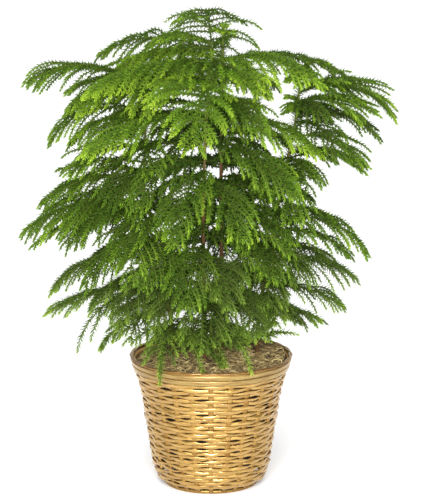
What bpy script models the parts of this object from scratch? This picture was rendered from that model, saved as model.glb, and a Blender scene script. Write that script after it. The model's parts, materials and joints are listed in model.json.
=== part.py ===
"""A Norfolk Island pine in a basket: four seedlings that share a grow pot, dressed with moss.

Metres, +Z up, +Y away from the viewer. The origin is the centre of the basket's underside.
Each loose piece is one closed solid. Pieces that touch keep the small gap GAP between them.
"""

import math
from dataclasses import dataclass, field

import bmesh
import bpy
from mathutils import Matrix, Vector, noise
from mathutils.bvhtree import BVHTree

# ---------------------------------------------------------------- driving dimensions

GAP = 0.0003

# Basket: height and radius of the middle of the woven wall, from the foot to the rim.
BASKET_HEIGHT = 0.175
WALL = (
    (0.0025, 0.0600),
    (0.0060, 0.0685),
    (0.0198, 0.0746),
    (0.0396, 0.0788),
    (0.1280, 0.0924),
    (BASKET_HEIGHT, 0.1058),
)
STAKES = 24
STAKE_WIDTH = 0.0050
STAKE_THICKNESS = 0.0014
BASE_THICKNESS = 0.0050
WEAVERS = 14
WEAVE_FOOT = 0.0088
WEAVE_TOP = 0.1605
WEAVER_THICKNESS = 0.0016
WEAVER_SWING = 0.0029
WEAVER_CLEARANCE = 0.0005
RIM_BAND_HEIGHT = 0.0125
RIM_BAND_THICKNESS = 0.0018
RIM_SIDES = 36
RIM_BORDER_RADIUS = 0.0016

# Grow pot, standing on the basket's base.
POT_FOOT = BASE_THICKNESS + GAP
POT_FOOT_RADIUS = 0.0575
POT_SHOULDER = 0.1500
POT_SHOULDER_RADIUS = 0.0860
POT_LIP = 0.1630
POT_LIP_RADIUS = 0.0925
POT_WALL = 0.0015
POT_SIDES = 24
DRAIN_HOLES = 6
DRAIN_RADIUS = 0.0050
DRAIN_CIRCLE = 0.0400

SOIL_TOP = 0.1480
MOSS_RADIUS = 0.0975
MOSS_EDGE = 0.1700
MOSS_CROWN = 0.0070
MOSS_LUMP = 0.0045
MOSS_RINGS = (0.25, 0.50, 0.75, 0.93, 1.0)

ROOT_DEPTH = 0.1000
STEM_SIDES = 8
SOCKET_RADIUS = 0.0042

# Fronds: the rib is a flat strip, and its branchlets are tapered blades.
RIB_WIDTH = 0.0040
RIB_HEIGHT = 0.0040
BRANCHLET_WIDTH = 0.0070
BRANCHLET_HEIGHT = 0.0040
BRANCHLET_TIP = 0.40
BRANCHLET_PAIRS = 6
SINGLE_BAR_PAIRS = 1
BRANCHLET_LEAN = 58.0
INNER_DROOP = -0.10
OUTER_DROOP = -1.20
BARE_SHARE = 0.20
BRANCHLET_MARGIN = 0.0006
SHORTER = (1.0, 0.8, 0.6, 0.4, 0.25)


@dataclass(frozen=True)
class Frond:
    """One frond: where it leaves the trunk, the way it heads, and how it arches."""

    height: float  # on the trunk
    heading: float  # degrees from +X towards +Y, seen from above
    length: float  # along the rib
    rise: float  # degrees above level at the trunk
    fall: float  # degrees above level at the tip
    spread: float  # longest branchlet


@dataclass(frozen=True)
class Pine:
    """One seedling: its stem from the soil up, and its fronds from the bottom up."""

    stem: tuple  # (x, y, z, radius) up the stem, the first at the moss
    fronds: tuple = field(default=())


PINES = {
    "a": Pine(
        stem=(
            (-0.008, -0.030, 0.185, 0.0030),
            (-0.010, -0.028, 0.300, 0.0027),
            (-0.010, -0.025, 0.430, 0.0022),
            (-0.004, -0.015, 0.540, 0.0017),
            (0.002, -0.008, 0.590, 0.0012),
        ),
        fronds=(
            Frond(0.262, -92, 0.115, 0, -60, 0.055),
            Frond(0.335, -100, 0.150, 5, -60, 0.065),
            Frond(0.420, -68, 0.160, 8, -55, 0.065),
            Frond(0.435, -103, 0.190, 5, -55, 0.070),
            Frond(0.470, -40, 0.175, 5, -45, 0.070),
            Frond(0.505, -147, 0.200, 12, -32, 0.075),
            Frond(0.532, -20, 0.170, 8, -42, 0.075),
            Frond(0.542, -96, 0.200, 15, -48, 0.085),
            Frond(0.568, -155, 0.192, 15, -38, 0.075),
            Frond(0.578, -25, 0.170, 20, -35, 0.070),
            Frond(0.584, 95, 0.130, 60, -25, 0.085),
        ),
    ),
    "b": Pine(
        stem=(
            (0.014, 0.030, 0.185, 0.0031),
            (0.014, 0.030, 0.330, 0.0027),
            (0.013, 0.028, 0.480, 0.0022),
            (0.016, 0.022, 0.580, 0.0018),
            (0.016, 0.020, 0.622, 0.0013),
        ),
        fronds=(
            Frond(0.285, 62, 0.150, 5, -45, 0.060),
            Frond(0.300, 130, 0.160, 5, -45, 0.060),
            Frond(0.385, 98, 0.180, 10, -45, 0.065),
            Frond(0.405, 42, 0.180, 10, -40, 0.065),
            Frond(0.490, 143, 0.190, 15, -45, 0.070),
            Frond(0.502, 78, 0.180, 15, -45, 0.070),
            Frond(0.576, 24, 0.200, 12, -32, 0.070),
            Frond(0.590, 165, 0.195, 24, -50, 0.070),
        ),
    ),
    "c": Pine(
        stem=(
            (-0.049, -0.005, 0.185, 0.0028),
            (-0.054, -0.004, 0.235, 0.0026),
            (-0.066, -0.002, 0.270, 0.0024),
            (-0.082, 0.000, 0.315, 0.0022),
            (-0.091, 0.000, 0.400, 0.0019),
            (-0.084, 0.000, 0.555, 0.0013),
        ),
        fronds=(
            Frond(0.214, -98, 0.140, 12, -78, 0.040),
            Frond(0.240, -155, 0.142, 6, -62, 0.050),
            Frond(0.268, 188, 0.180, 8, -38, 0.060),
            Frond(0.305, 178, 0.165, 12, -72, 0.065),
            Frond(0.372, -98, 0.150, 0, -55, 0.065),
            Frond(0.380, 190, 0.180, 8, -45, 0.070),
            Frond(0.410, 170, 0.155, 22, -50, 0.065),
            Frond(0.508, 184, 0.160, 28, -60, 0.065),
            Frond(0.545, 176, 0.175, 28, -36, 0.065),
        ),
    ),
    "d": Pine(
        stem=(
            (0.062, 0.004, 0.185, 0.0029),
            (0.064, 0.004, 0.235, 0.0027),
            (0.074, 0.004, 0.290, 0.0025),
            (0.092, 0.002, 0.400, 0.0020),
            (0.114, 0.002, 0.500, 0.0016),
            (0.118, 0.002, 0.555, 0.0012),
        ),
        fronds=(
            Frond(0.240, -20, 0.098, 6, -36, 0.045),
            Frond(0.272, -8, 0.124, 5, -42, 0.055),
            Frond(0.305, 8, 0.138, 10, -45, 0.060),
            Frond(0.358, 0, 0.156, 22, -72, 0.070),
            Frond(0.446, 10, 0.124, 22, -50, 0.062),
            Frond(0.500, -12, 0.135, 15, -40, 0.065),
            Frond(0.542, 3, 0.156, 28, -56, 0.065),
        ),
    ),
}

COLOURS = {
    "cane": (0.62, 0.40, 0.14, 0.38, 0.55),
    "pot": (0.02, 0.02, 0.02, 0.45, 0.0),
    "soil": (0.045, 0.03, 0.02, 0.95, 0.0),
    "moss": (0.36, 0.27, 0.15, 0.9, 0.0),
    "bark": (0.22, 0.10, 0.05, 0.8, 0.0),
    "foliage": (0.11, 0.24, 0.03, 0.6, 0.0),
}


# ---------------------------------------------------------------- small helpers


def clear_scene():
    """Removes whatever the scene holds."""
    for item in list(bpy.data.objects):
        bpy.data.objects.remove(item, do_unlink=True)


def finish_of(name):
    """The material of that name: colour, roughness and metallic value from COLOURS."""
    found = bpy.data.materials.get(name)
    if found:
        return found
    red, green, blue, roughness, metallic = COLOURS[name]
    made = bpy.data.materials.new(name)
    made.use_nodes = True
    surface = made.node_tree.nodes["Principled BSDF"]
    surface.inputs["Base Color"].default_value = (red, green, blue, 1.0)
    surface.inputs["Roughness"].default_value = roughness
    surface.inputs["Metallic"].default_value = metallic
    return made


def link(name, data, finish):
    """An object of that name for the data, in the scene, with its material."""
    piece = bpy.data.objects.new(name, data)
    piece.data.materials.append(finish_of(finish))
    bpy.context.scene.collection.objects.link(piece)
    return piece


def piece_from(name, shape, finish):
    """An object from a bmesh, which is freed."""
    bmesh.ops.recalc_face_normals(shape, faces=shape.faces)
    mesh = bpy.data.meshes.new(name)
    shape.to_mesh(mesh)
    shape.free()
    return link(name, mesh, finish)


def along(points, value, key):
    """The other entries of points at a value of entry key, straight between neighbours."""
    for low, high in zip(points, points[1:]):
        if value <= high[key] or high is points[-1]:
            share = (value - low[key]) / (high[key] - low[key])
            return tuple(a + (b - a) * share for a, b in zip(low, high))
    raise ValueError(value)


def wall_radius(height):
    """Radius of the middle of the basket's wall at a height."""
    return along(WALL, height, 0)[1]


def around(radius, angle, height):
    """The point at a radius, an angle in radians and a height."""
    return Vector((radius * math.cos(angle), radius * math.sin(angle), height))


def turned(name, profile, sides, finish):
    """A closed solid of revolution about Z from a closed outline of (radius, height) points.

    Points on the axis close the shape there.
    """
    shape = bmesh.new()
    corners = [shape.verts.new((radius, 0.0, height)) for radius, height in profile]
    on_axis = profile[0][0] == 0.0
    pairs = list(zip(corners, corners[1:]))
    if not on_axis:
        pairs.append((corners[-1], corners[0]))
    edges = [shape.edges.new(pair) for pair in pairs]
    bmesh.ops.spin(
        shape,
        geom=corners + edges,
        cent=(0, 0, 0),
        axis=(0, 0, 1),
        angle=math.tau,
        steps=sides,
        use_merge=True,
        use_duplicate=False,
    )
    bmesh.ops.remove_doubles(shape, verts=shape.verts, dist=1e-6)
    return piece_from(name, shape, finish)


def cut(piece, cutter):
    """Takes the cutter's shape out of a piece."""
    cutter.hide_render = True
    cutter.display_type = "WIRE"
    modifier = piece.modifiers.new("cut by " + cutter.name, "BOOLEAN")
    modifier.operation = "DIFFERENCE"
    modifier.object = cutter


def rod(name, x, y, radius, bottom, top, sides=8):
    """An upright cylinder, for cutting."""
    shape = bmesh.new()
    bmesh.ops.create_cone(
        shape, cap_ends=True, segments=sides, radius1=radius, radius2=radius, depth=top - bottom
    )
    bmesh.ops.translate(shape, verts=shape.verts, vec=(x, y, (top + bottom) / 2))
    return piece_from(name, shape, "soil")


# ---------------------------------------------------------------- basket


def grow_face(shape, face, corners):
    """Extrudes one face and puts its corners, in the face's own order, at the given points."""
    new = bmesh.ops.extrude_discrete_faces(shape, faces=[face])["faces"][0]
    for vert, point in zip(new.verts, corners):
        vert.co = point
    return new


def stake_corners(face, angle, height, radius, lean):
    """Where a stake's end face goes: its own corners flattened into the stake's section."""
    middle = around(radius, angle, height)
    across = Vector((-math.sin(angle), math.cos(angle), 0))
    outward = Vector((math.cos(angle), math.sin(angle), 0)) * math.cos(lean)
    through = outward - Vector((0, 0, 1)) * math.sin(lean)
    centre = face.calc_center_median()
    corners = []
    for vert in face.verts:
        offset = vert.co - centre
        side = 1 if offset.dot(across) > 0 else -1
        depth = 1 if offset.dot(through) > 0 else -1
        corners.append(
            middle + across * side * STAKE_WIDTH / 2 + through * depth * STAKE_THICKNESS / 2
        )
    return corners


def basket_frame():
    """The base disc and the stakes that grow out of its edge and turn up to the rim."""
    shape = bmesh.new()
    sides = STAKES * 2
    foot_radius = WALL[0][1]
    bmesh.ops.create_cone(
        shape,
        cap_ends=True,
        segments=sides,
        radius1=foot_radius,
        radius2=foot_radius,
        depth=BASE_THICKNESS,
    )
    bmesh.ops.translate(shape, verts=shape.verts, vec=(0, 0, BASE_THICKNESS / 2))
    bmesh.ops.rotate(
        shape,
        verts=shape.verts,
        cent=(0, 0, 0),
        matrix=Matrix.Rotation(math.pi / sides, 3, "Z"),
    )
    edge_faces = {}
    for face in shape.faces:
        if abs(face.normal.z) < 0.5:
            middle = face.calc_center_median()
            edge_faces[round(math.atan2(middle.y, middle.x) / math.tau * sides) % sides] = face
    stake_tops = WALL[1:-1] + ((BASKET_HEIGHT - 0.002, wall_radius(BASKET_HEIGHT - 0.002)),)
    for number in range(STAKES):
        angle = math.tau * number / STAKES
        face = edge_faces[number * 2]
        below = WALL[0]
        for height, radius in stake_tops:
            lean = math.atan2(radius - below[1], height - below[0])
            face = grow_face(shape, face, stake_corners(face, angle, height, radius, lean))
            below = (height, radius)
    return piece_from("basket_frame", shape, "cane")


def weaver(number):
    """One woven course: a strap that passes outside one stake and inside the next."""
    pitch = (WEAVE_TOP - WEAVE_FOOT) / WEAVERS
    foot = WEAVE_FOOT + pitch * number
    top = foot + pitch - WEAVER_CLEARANCE
    half = WEAVER_THICKNESS / 2
    shape = bmesh.new()
    sections = []
    for stake in range(STAKES):
        swing = WEAVER_SWING if (stake + number) % 2 else -WEAVER_SWING
        angle = math.tau * stake / STAKES
        section = [
            shape.verts.new(around(wall_radius(height) + swing + side, angle, height))
            for height, side in ((foot, -half), (foot, half), (top, half), (top, -half))
        ]
        sections.append(section)
    for here, there in zip(sections, sections[1:] + sections[:1]):
        for corner in range(4):
            after = (corner + 1) % 4
            shape.faces.new((here[corner], here[after], there[after], there[corner]))
    piece_from(f"weaver_{number + 1:02d}", shape, "cane")


def rim():
    """The flat bands outside and inside the stakes' ends, and the border along their tops."""
    bottom = BASKET_HEIGHT - RIM_BAND_HEIGHT
    middle_low, middle_high = wall_radius(bottom), wall_radius(BASKET_HEIGHT)
    reach = STAKE_THICKNESS / 2 + GAP * 2
    far = reach + RIM_BAND_THICKNESS
    spare = 1 / math.cos(math.pi / RIM_SIDES)
    for name, near_side, far_side in (
        ("rim_outer_band", reach, far),
        ("rim_inner_band", -far, -reach),
    ):
        profile = (
            ((middle_low + near_side) * spare, bottom),
            ((middle_low + far_side) * spare, bottom),
            ((middle_high + far_side) * spare, BASKET_HEIGHT),
            ((middle_high + near_side) * spare, BASKET_HEIGHT),
        )
        turned(name, profile, RIM_SIDES, "cane")
    centre = BASKET_HEIGHT + GAP + RIM_BORDER_RADIUS
    border = (
        ((middle_high - far) * spare, centre - RIM_BORDER_RADIUS),
        ((middle_high + far) * spare, centre - RIM_BORDER_RADIUS),
        (middle_high * spare, centre + RIM_BORDER_RADIUS),
    )
    turned("rim_border", border, RIM_SIDES, "cane")


# ---------------------------------------------------------------- pot, soil and moss


def pot_radius(height):
    """Outer radius of the grow pot's tapered wall at a height."""
    share = (height - POT_FOOT) / (POT_SHOULDER - POT_FOOT)
    return POT_FOOT_RADIUS + (POT_SHOULDER_RADIUS - POT_FOOT_RADIUS) * share


def grow_pot():
    """The thin plastic pot that stands inside the basket."""
    floor = POT_FOOT + POT_WALL
    profile = (
        (0.0, POT_FOOT),
        (POT_FOOT_RADIUS, POT_FOOT),
        (POT_SHOULDER_RADIUS, POT_SHOULDER),
        (POT_LIP_RADIUS, POT_SHOULDER),
        (POT_LIP_RADIUS, POT_LIP),
        (POT_LIP_RADIUS - POT_WALL, POT_LIP),
        (POT_LIP_RADIUS - POT_WALL, POT_SHOULDER + POT_WALL),
        (POT_SHOULDER_RADIUS - POT_WALL, POT_SHOULDER + POT_WALL),
        (pot_radius(floor) - POT_WALL, floor),
        (0.0, floor),
    )
    pot = turned("grow_pot", profile, POT_SIDES, "pot")
    for number in range(DRAIN_HOLES):
        place = around(DRAIN_CIRCLE, math.tau * (number + 0.5) / DRAIN_HOLES, 0)
        hole = rod(f"cut_drain_{number}", place.x, place.y, DRAIN_RADIUS, 0.0, floor + 0.01)
        cut(pot, hole)


def inside_pot(height):
    """Radius that just clears the pot's inner wall at a height."""
    return (pot_radius(height) - POT_WALL - GAP * 2) * math.cos(math.pi / POT_SIDES)


def potting_soil():
    """The root ball's soil, with a socket for each stem."""
    floor = POT_FOOT + POT_WALL + GAP
    profile = (
        (0.0, floor),
        (inside_pot(floor), floor),
        (inside_pot(SOIL_TOP), SOIL_TOP),
        (0.0, SOIL_TOP),
    )
    soil = turned("potting_soil", profile, POT_SIDES, "soil")
    for name, pine in PINES.items():
        x, y = pine.stem[0][:2]
        cut(soil, rod(f"cut_soil_{name}", x, y, SOCKET_RADIUS, ROOT_DEPTH - GAP, SOIL_TOP + 0.01))


def moss_height(x, y):
    """Height of the moss's lumpy top at a place."""
    share = min(1.0, math.hypot(x, y) / MOSS_RADIUS)
    lump = noise.noise(Vector((x * 42.0, y * 42.0, 3.7))) * MOSS_LUMP
    return MOSS_EDGE + MOSS_CROWN * (1 - share * share) + lump


def moss_mulch():
    """The moss that covers the soil and spills over the pot's lip to the basket's rim."""
    plug = inside_pot(SOIL_TOP + GAP)
    lip = POT_LIP + GAP
    neck = (POT_LIP_RADIUS - POT_WALL - GAP * 2) * math.cos(math.pi / POT_SIDES)
    step = POT_SHOULDER + POT_WALL + GAP
    profile = (
        (0.0, SOIL_TOP + GAP),
        (plug, SOIL_TOP + GAP),
        (plug, step),
        (neck, step),
        (neck, lip),
        (MOSS_RADIUS, lip),
    )
    profile += tuple((MOSS_RADIUS * share, MOSS_EDGE) for share in reversed(MOSS_RINGS))
    profile += ((0.0, MOSS_EDGE),)
    moss = turned("moss_mulch", profile, POT_SIDES, "moss")
    for vert in moss.data.vertices:
        if vert.co.z >= MOSS_EDGE - GAP:
            vert.co.z = moss_height(vert.co.x, vert.co.y)
    for name, pine in PINES.items():
        x, y = pine.stem[0][:2]
        cut(moss, rod(f"cut_moss_{name}", x, y, SOCKET_RADIUS, SOIL_TOP - 0.01, MOSS_EDGE + 0.02))


# ---------------------------------------------------------------- stems and fronds


def trunk(name, pine):
    """A seedling's stem, upright in the soil and then leaning as its points say."""
    x, y, _, radius = pine.stem[0]
    shape = bmesh.new()
    rings = []
    for px, py, pz, thickness in ((x, y, ROOT_DEPTH, radius * 0.8),) + pine.stem:
        centre = Vector((px, py, 0))
        rings.append(
            [
                shape.verts.new(centre + around(thickness, math.tau * side / STEM_SIDES, pz))
                for side in range(STEM_SIDES)
            ]
        )
    for low, high in zip(rings, rings[1:]):
        for side in range(STEM_SIDES):
            after = (side + 1) % STEM_SIDES
            shape.faces.new((low[side], low[after], high[after], high[side]))
    shape.faces.new(rings[0])
    shape.faces.new(rings[-1])
    piece_from(name, shape, "bark")


class Clearance:
    """The space that stems, ribs and branchlets already take."""

    def __init__(self):
        self.taken = []

    @staticmethod
    def tree_of(points, margin):
        """A search tree for a convex bar with 8 corners, made larger by a margin."""
        centre = sum(points, Vector()) / len(points)
        grown = [point + (point - centre).normalized() * margin for point in points]
        faces = ((0, 1, 2, 3), (4, 5, 6, 7), (0, 1, 5, 4), (1, 2, 6, 5), (2, 3, 7, 6), (3, 0, 4, 7))
        low = Vector(tuple(min(p[i] for p in grown) for i in range(3)))
        high = Vector(tuple(max(p[i] for p in grown) for i in range(3)))
        return BVHTree.FromPolygons(grown, faces), low, high

    def add(self, owner, points):
        """Takes the space of a bar for a node."""
        self.taken.append((owner, *self.tree_of(points, BRANCHLET_MARGIN)))

    def meets(self, owner, points):
        """The nodes other than the owner whose space the bar would enter."""
        tree, low, high = self.tree_of(points, BRANCHLET_MARGIN)
        found = set()
        for other, taken, other_low, other_high in self.taken:
            if other == owner or other in found:
                continue
            apart = any(low[i] > other_high[i] or high[i] < other_low[i] for i in range(3))
            if not apart and tree.overlap(taken):
                found.add(other)
        return found


def bar(start, end, side, up, start_size, end_size):
    """The 8 corners of a tapered bar between two points; a size is (width, height)."""
    corners = []
    for middle, (width, height) in ((start, start_size), (end, end_size)):
        for across, rise in ((1, 1), (1, -1), (-1, -1), (-1, 1)):
            corners.append(middle + side * across * width / 2 + up * rise * height / 2)
    return corners


class FrondShape:
    """Works out one frond's rib and branchlets, and then builds its solid."""

    def __init__(self, letter, number, pine, frond):
        self.name = f"frond_{letter}_{number:02d}"
        self.stem_name = f"trunk_{letter}"
        self.frond = frond
        heading = math.radians(frond.heading)
        self.out = Vector((math.cos(heading), math.sin(heading), 0))
        self.side = Vector((-math.sin(heading), math.cos(heading), 0))
        x, y, z, radius = along(pine.stem, frond.height, 2)
        low = along(pine.stem, z - RIB_HEIGHT, 2)
        high = along(pine.stem, z + RIB_HEIGHT, 2)
        lean = abs((high[0] - low[0]) * self.out.x + (high[1] - low[1]) * self.out.y)
        self.root = Vector((x, y, z)) + self.out * (radius + lean / 4 + GAP)
        self.stations = self.rib_stations()
        self.lengths = {}

    def at(self, share):
        """The rib's point and direction at a share of its length."""
        steps = 24
        point, angle = self.root.copy(), 0.0
        for step in range(steps):
            middle = (step + 0.5) / steps * share
            angle = self.angle(middle)
            point += self.direction(angle) * self.frond.length * share / steps
        return point, self.direction(self.angle(share))

    def angle(self, share):
        """The rib's angle above level, in radians."""
        rise, fall = math.radians(self.frond.rise), math.radians(self.frond.fall)
        return rise + (fall - rise) * share**1.25

    def direction(self, angle):
        """A level heading tipped up by an angle."""
        return self.out * math.cos(angle) + Vector((0, 0, 1)) * math.sin(angle)

    def rib_stations(self):
        """Shares of the length at which the rib has a ring of corners.

        Each pair of branchlets leaves a short stretch of rib, so it needs a station at each end.
        """
        shares = [0.0]
        first, last = BARE_SHARE, 0.93
        half = BRANCHLET_WIDTH / 2 / self.frond.length
        for pair in range(BRANCHLET_PAIRS):
            middle = first + (last - first) * pair / (BRANCHLET_PAIRS - 1)
            shares += [middle - half, middle + half]
        return shares + [1.0]

    def branchlet_length(self, pair):
        """A branchlet's length: longest a third of the way out, short at the tip."""
        share = pair / (BRANCHLET_PAIRS - 1)
        swell = 0.75 + 0.25 * math.sin(math.pi * min(1.0, share / 0.4) / 2)
        return self.frond.spread * swell * (1 - 0.72 * max(0.0, share - 0.25) / 0.75)

    def rib_bars(self):
        """The rib as bars between stations."""
        ends = [self.at(share)[0] for share in self.stations]
        up = Vector((0, 0, 1))
        sizes = [self.rib_size(share) for share in self.stations]
        return [
            bar(a, b, self.side, up, size_a, size_b)
            for a, b, size_a, size_b in zip(ends, ends[1:], sizes, sizes[1:])
        ]

    def rib_size(self, share):
        """The rib's width and height at a share of its length."""
        slim = 1 - 0.5 * share
        return RIB_WIDTH * slim, RIB_HEIGHT * slim

    def branchlet_bars(self, pair, side_sign, scale):
        """The two bars of a branchlet: out along the frond's plane, then drooping."""
        station = 1 + pair * 2
        middle = (self.stations[station] + self.stations[station + 1]) / 2
        root, forward = self.at(middle)
        side = self.side * side_sign
        lean = math.radians(BRANCHLET_LEAN)
        reach = self.branchlet_length(pair) * scale
        flat = forward * math.cos(lean) + side * math.sin(lean)
        start = root + side * self.rib_size(middle)[0] / 2
        level = (flat + Vector((0, 0, INNER_DROOP))).normalized()
        elbow = start + level * reach * 0.5
        droop = (flat + Vector((0, 0, OUTER_DROOP))).normalized()
        tip = elbow + droop * reach * 0.5
        width = forward - flat * forward.dot(flat)
        width = width.normalized()
        normal = flat.cross(width)
        full = (BRANCHLET_WIDTH, BRANCHLET_HEIGHT)
        small = (BRANCHLET_WIDTH * BRANCHLET_TIP, BRANCHLET_HEIGHT * BRANCHLET_TIP)
        if pair >= BRANCHLET_PAIRS - SINGLE_BAR_PAIRS:
            return (bar(start, tip, width, normal, full, small),)
        return (
            bar(start, elbow, width, normal, full, full),
            bar(elbow, tip, width, normal, full, small),
        )

    def claim_rib(self, clearance):
        """Takes the rib's space, and says which nodes it runs into beyond its own stem."""
        met = set()
        for corners in self.rib_bars():
            met |= clearance.meets(self.name, corners)
            clearance.add(self.name, corners)
        met.discard(self.stem_name)
        if met:
            print(f"{self.name}'s rib meets {sorted(met)}")

    def claim_branchlets(self, clearance):
        """Shortens each branchlet until it clears what is there, and takes its space."""
        for pair in range(BRANCHLET_PAIRS):
            for side_sign in (1, -1):
                for scale in SHORTER:
                    bars = self.branchlet_bars(pair, side_sign, scale)
                    if not any(clearance.meets(self.name, corners) for corners in bars):
                        self.lengths[pair, side_sign] = scale
                        for corners in bars:
                            clearance.add(self.name, corners)
                        break

    def build(self):
        """Extrudes the rib station by station, then each branchlet from the rib's side."""
        shape = bmesh.new()
        bars = self.rib_bars()
        bmesh.ops.create_cube(shape, size=1.0)
        end = None
        for face in shape.faces:
            if face.normal.x > 0.5:
                end = face
        for vert in shape.verts:
            vert.co = self.cube_corner(vert.co, bars[0])
        sides = {}
        for index, corners in enumerate(bars[1:], 1):
            end = grow_face(shape, end, self.nearest_order(end, corners[:4], corners[4:]))
            for edge in end.edges:
                side_face = next(face for face in edge.link_faces if face is not end)
                across = (side_face.calc_center_median() - self.root).dot(self.side)
                if abs(across) > self.rib_size(1.0)[0] / 4:
                    sides[index, 1 if across > 0 else -1] = side_face
        for (pair, side_sign), scale in self.lengths.items():
            face = sides[1 + pair * 2, side_sign]
            for corners in self.branchlet_bars(pair, side_sign, scale):
                face = grow_face(shape, face, self.matched(face, corners[4:]))
        piece_from(self.name, shape, "foliage")

    @staticmethod
    def cube_corner(corner, first_bar):
        """Where a unit cube's corner goes in the rib's first bar."""
        ring = first_bar[4:] if corner.x > 0 else first_bar[:4]
        across, rise = corner.y > 0, corner.z > 0
        return ring[{(True, True): 0, (True, False): 1, (False, False): 2, (False, True): 3}[across, rise]]

    @staticmethod
    def nearest_order(face, here, there):
        """The points of there, in the order in which the face's corners lie at here."""
        return [
            there[min(range(4), key=lambda i: (vert.co - here[i]).length)] for vert in face.verts
        ]

    @staticmethod
    def matched(face, target):
        """The target's corners in the cyclic order that turns the face's own loop the least."""
        own = [vert.co for vert in face.verts]
        centre = sum(own, Vector()) / 4
        goal = sum(target, Vector()) / 4
        orders = []
        for ring in (target, target[::-1]):
            for turn in range(4):
                turned_ring = ring[turn:] + ring[:turn]
                cost = sum(
                    ((a - centre).normalized() - (b - goal).normalized()).length
                    for a, b in zip(own, turned_ring)
                )
                orders.append((cost, turn, turned_ring))
        return min(orders, key=lambda entry: entry[0])[2]


def pines():
    """The stems, and the fronds, whose branchlets stop short of each other."""
    clearance = Clearance()
    fronds = []
    for letter, pine in PINES.items():
        trunk(f"trunk_{letter}", pine)
        rings = [Vector(point[:3]) for point in pine.stem]
        for (low, high), (x, y, z, radius) in zip(zip(rings, rings[1:]), pine.stem):
            size = (radius * 2, radius * 2)
            x_axis, y_axis = Vector((1, 0, 0)), Vector((0, 1, 0))
            clearance.add(f"trunk_{letter}", bar(low, high, x_axis, y_axis, size, size))
        for number, frond in enumerate(pine.fronds, 1):
            fronds.append(FrondShape(letter, number, pine, frond))
    for shape in fronds:
        shape.claim_rib(clearance)
    for shape in fronds:
        shape.claim_branchlets(clearance)
        shape.build()


def main():
    """Builds every piece."""
    clear_scene()
    basket_frame()
    for number in range(WEAVERS):
        weaver(number)
    rim()
    grow_pot()
    potting_soil()
    moss_mulch()
    pines()


if __name__ == "__main__":
    main()
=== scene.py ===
"""Dresses the potted Norfolk Island pine: split-cane basket, grow pot, moss, stems and needled fronds."""

import json
import logging
import math
import re
from collections.abc import Callable
from dataclasses import dataclass, field
from enum import Enum
from functools import partial

import bpy
import numpy as np
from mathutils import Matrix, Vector, noise
from mathutils.bvhtree import BVHTree

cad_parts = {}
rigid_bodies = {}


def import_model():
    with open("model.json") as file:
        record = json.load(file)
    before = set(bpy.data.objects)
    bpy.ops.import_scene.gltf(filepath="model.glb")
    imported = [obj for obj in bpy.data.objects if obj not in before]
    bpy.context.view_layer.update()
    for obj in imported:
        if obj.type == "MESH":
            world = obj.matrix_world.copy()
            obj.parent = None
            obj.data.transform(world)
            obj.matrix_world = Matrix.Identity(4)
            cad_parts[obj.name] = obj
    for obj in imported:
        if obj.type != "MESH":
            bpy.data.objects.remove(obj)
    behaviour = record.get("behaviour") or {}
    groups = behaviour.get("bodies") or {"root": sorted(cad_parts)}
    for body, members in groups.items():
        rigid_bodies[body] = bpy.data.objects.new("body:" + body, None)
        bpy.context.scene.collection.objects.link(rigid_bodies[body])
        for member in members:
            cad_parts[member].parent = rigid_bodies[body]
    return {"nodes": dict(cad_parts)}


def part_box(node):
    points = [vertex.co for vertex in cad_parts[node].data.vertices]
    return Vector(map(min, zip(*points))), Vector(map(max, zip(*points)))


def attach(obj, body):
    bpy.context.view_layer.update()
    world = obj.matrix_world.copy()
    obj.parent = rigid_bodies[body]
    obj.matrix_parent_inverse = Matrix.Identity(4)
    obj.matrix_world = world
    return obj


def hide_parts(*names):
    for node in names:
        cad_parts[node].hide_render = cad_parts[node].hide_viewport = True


BODY = "root"
UP = np.array((0.0, 0.0, 1.0))
GOLDEN_ANGLE = math.pi * (3.0 - math.sqrt(5.0))
WHITE = (1.0, 1.0, 1.0)
Pair = tuple[float, float]
Socket = bpy.types.NodeSocket

# The surface map is a UV map. Its u runs along strands, stems and shoots, and its v goes round or up them.
SURFACE_MAP = "OFBake"
STRIP_START, STRIP_HALF = 0.02, 0.24  # where the first of its two strips starts, and half a strip's height
STRAND_ROWS = ((0.04, 0.48), (0.52, 0.96))  # the parts of the strips that go round a course's two strands
FACE_ROWS = ((0.14, 0.38), (0.62, 0.86))  # the parts of the strips on a strand's outer face
NEEDLE_ROW, TWIG_ROW = 0.80, 0.90  # the height on it where needles end, and where twigs start
ON_MAP = (0.02, 0.98)  # u stays between these
RIB_POINTS = 28  # points on a frond's rib
LEVEL = 0.0002  # corners less than this apart in height are on one level

log = logging.getLogger("norfolk_pine")
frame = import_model()


# ---------------- mesh helpers


@dataclass
class Shape:
    """Corners, triangles and surface places of a mesh, as arrays."""

    corners: np.ndarray  # one row of x, y, z for each corner
    # One row of three corner numbers for each triangle, turning anticlockwise from outside.
    triangles: np.ndarray
    places: np.ndarray  # one row of u, v on the surface map for each corner


def join_shapes(shapes: list[Shape]) -> Shape:
    """Puts shapes into one, without merging corners.

    Args:
        shapes: The shapes to join.

    Returns:
        One shape that holds them all.
    """
    starts = np.cumsum([0] + [len(shape.corners) for shape in shapes[:-1]])
    return Shape(
        np.concatenate([shape.corners for shape in shapes]),
        np.concatenate([shape.triangles + start for shape, start in zip(shapes, starts)]),
        np.concatenate([shape.places for shape in shapes]),
    )


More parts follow.
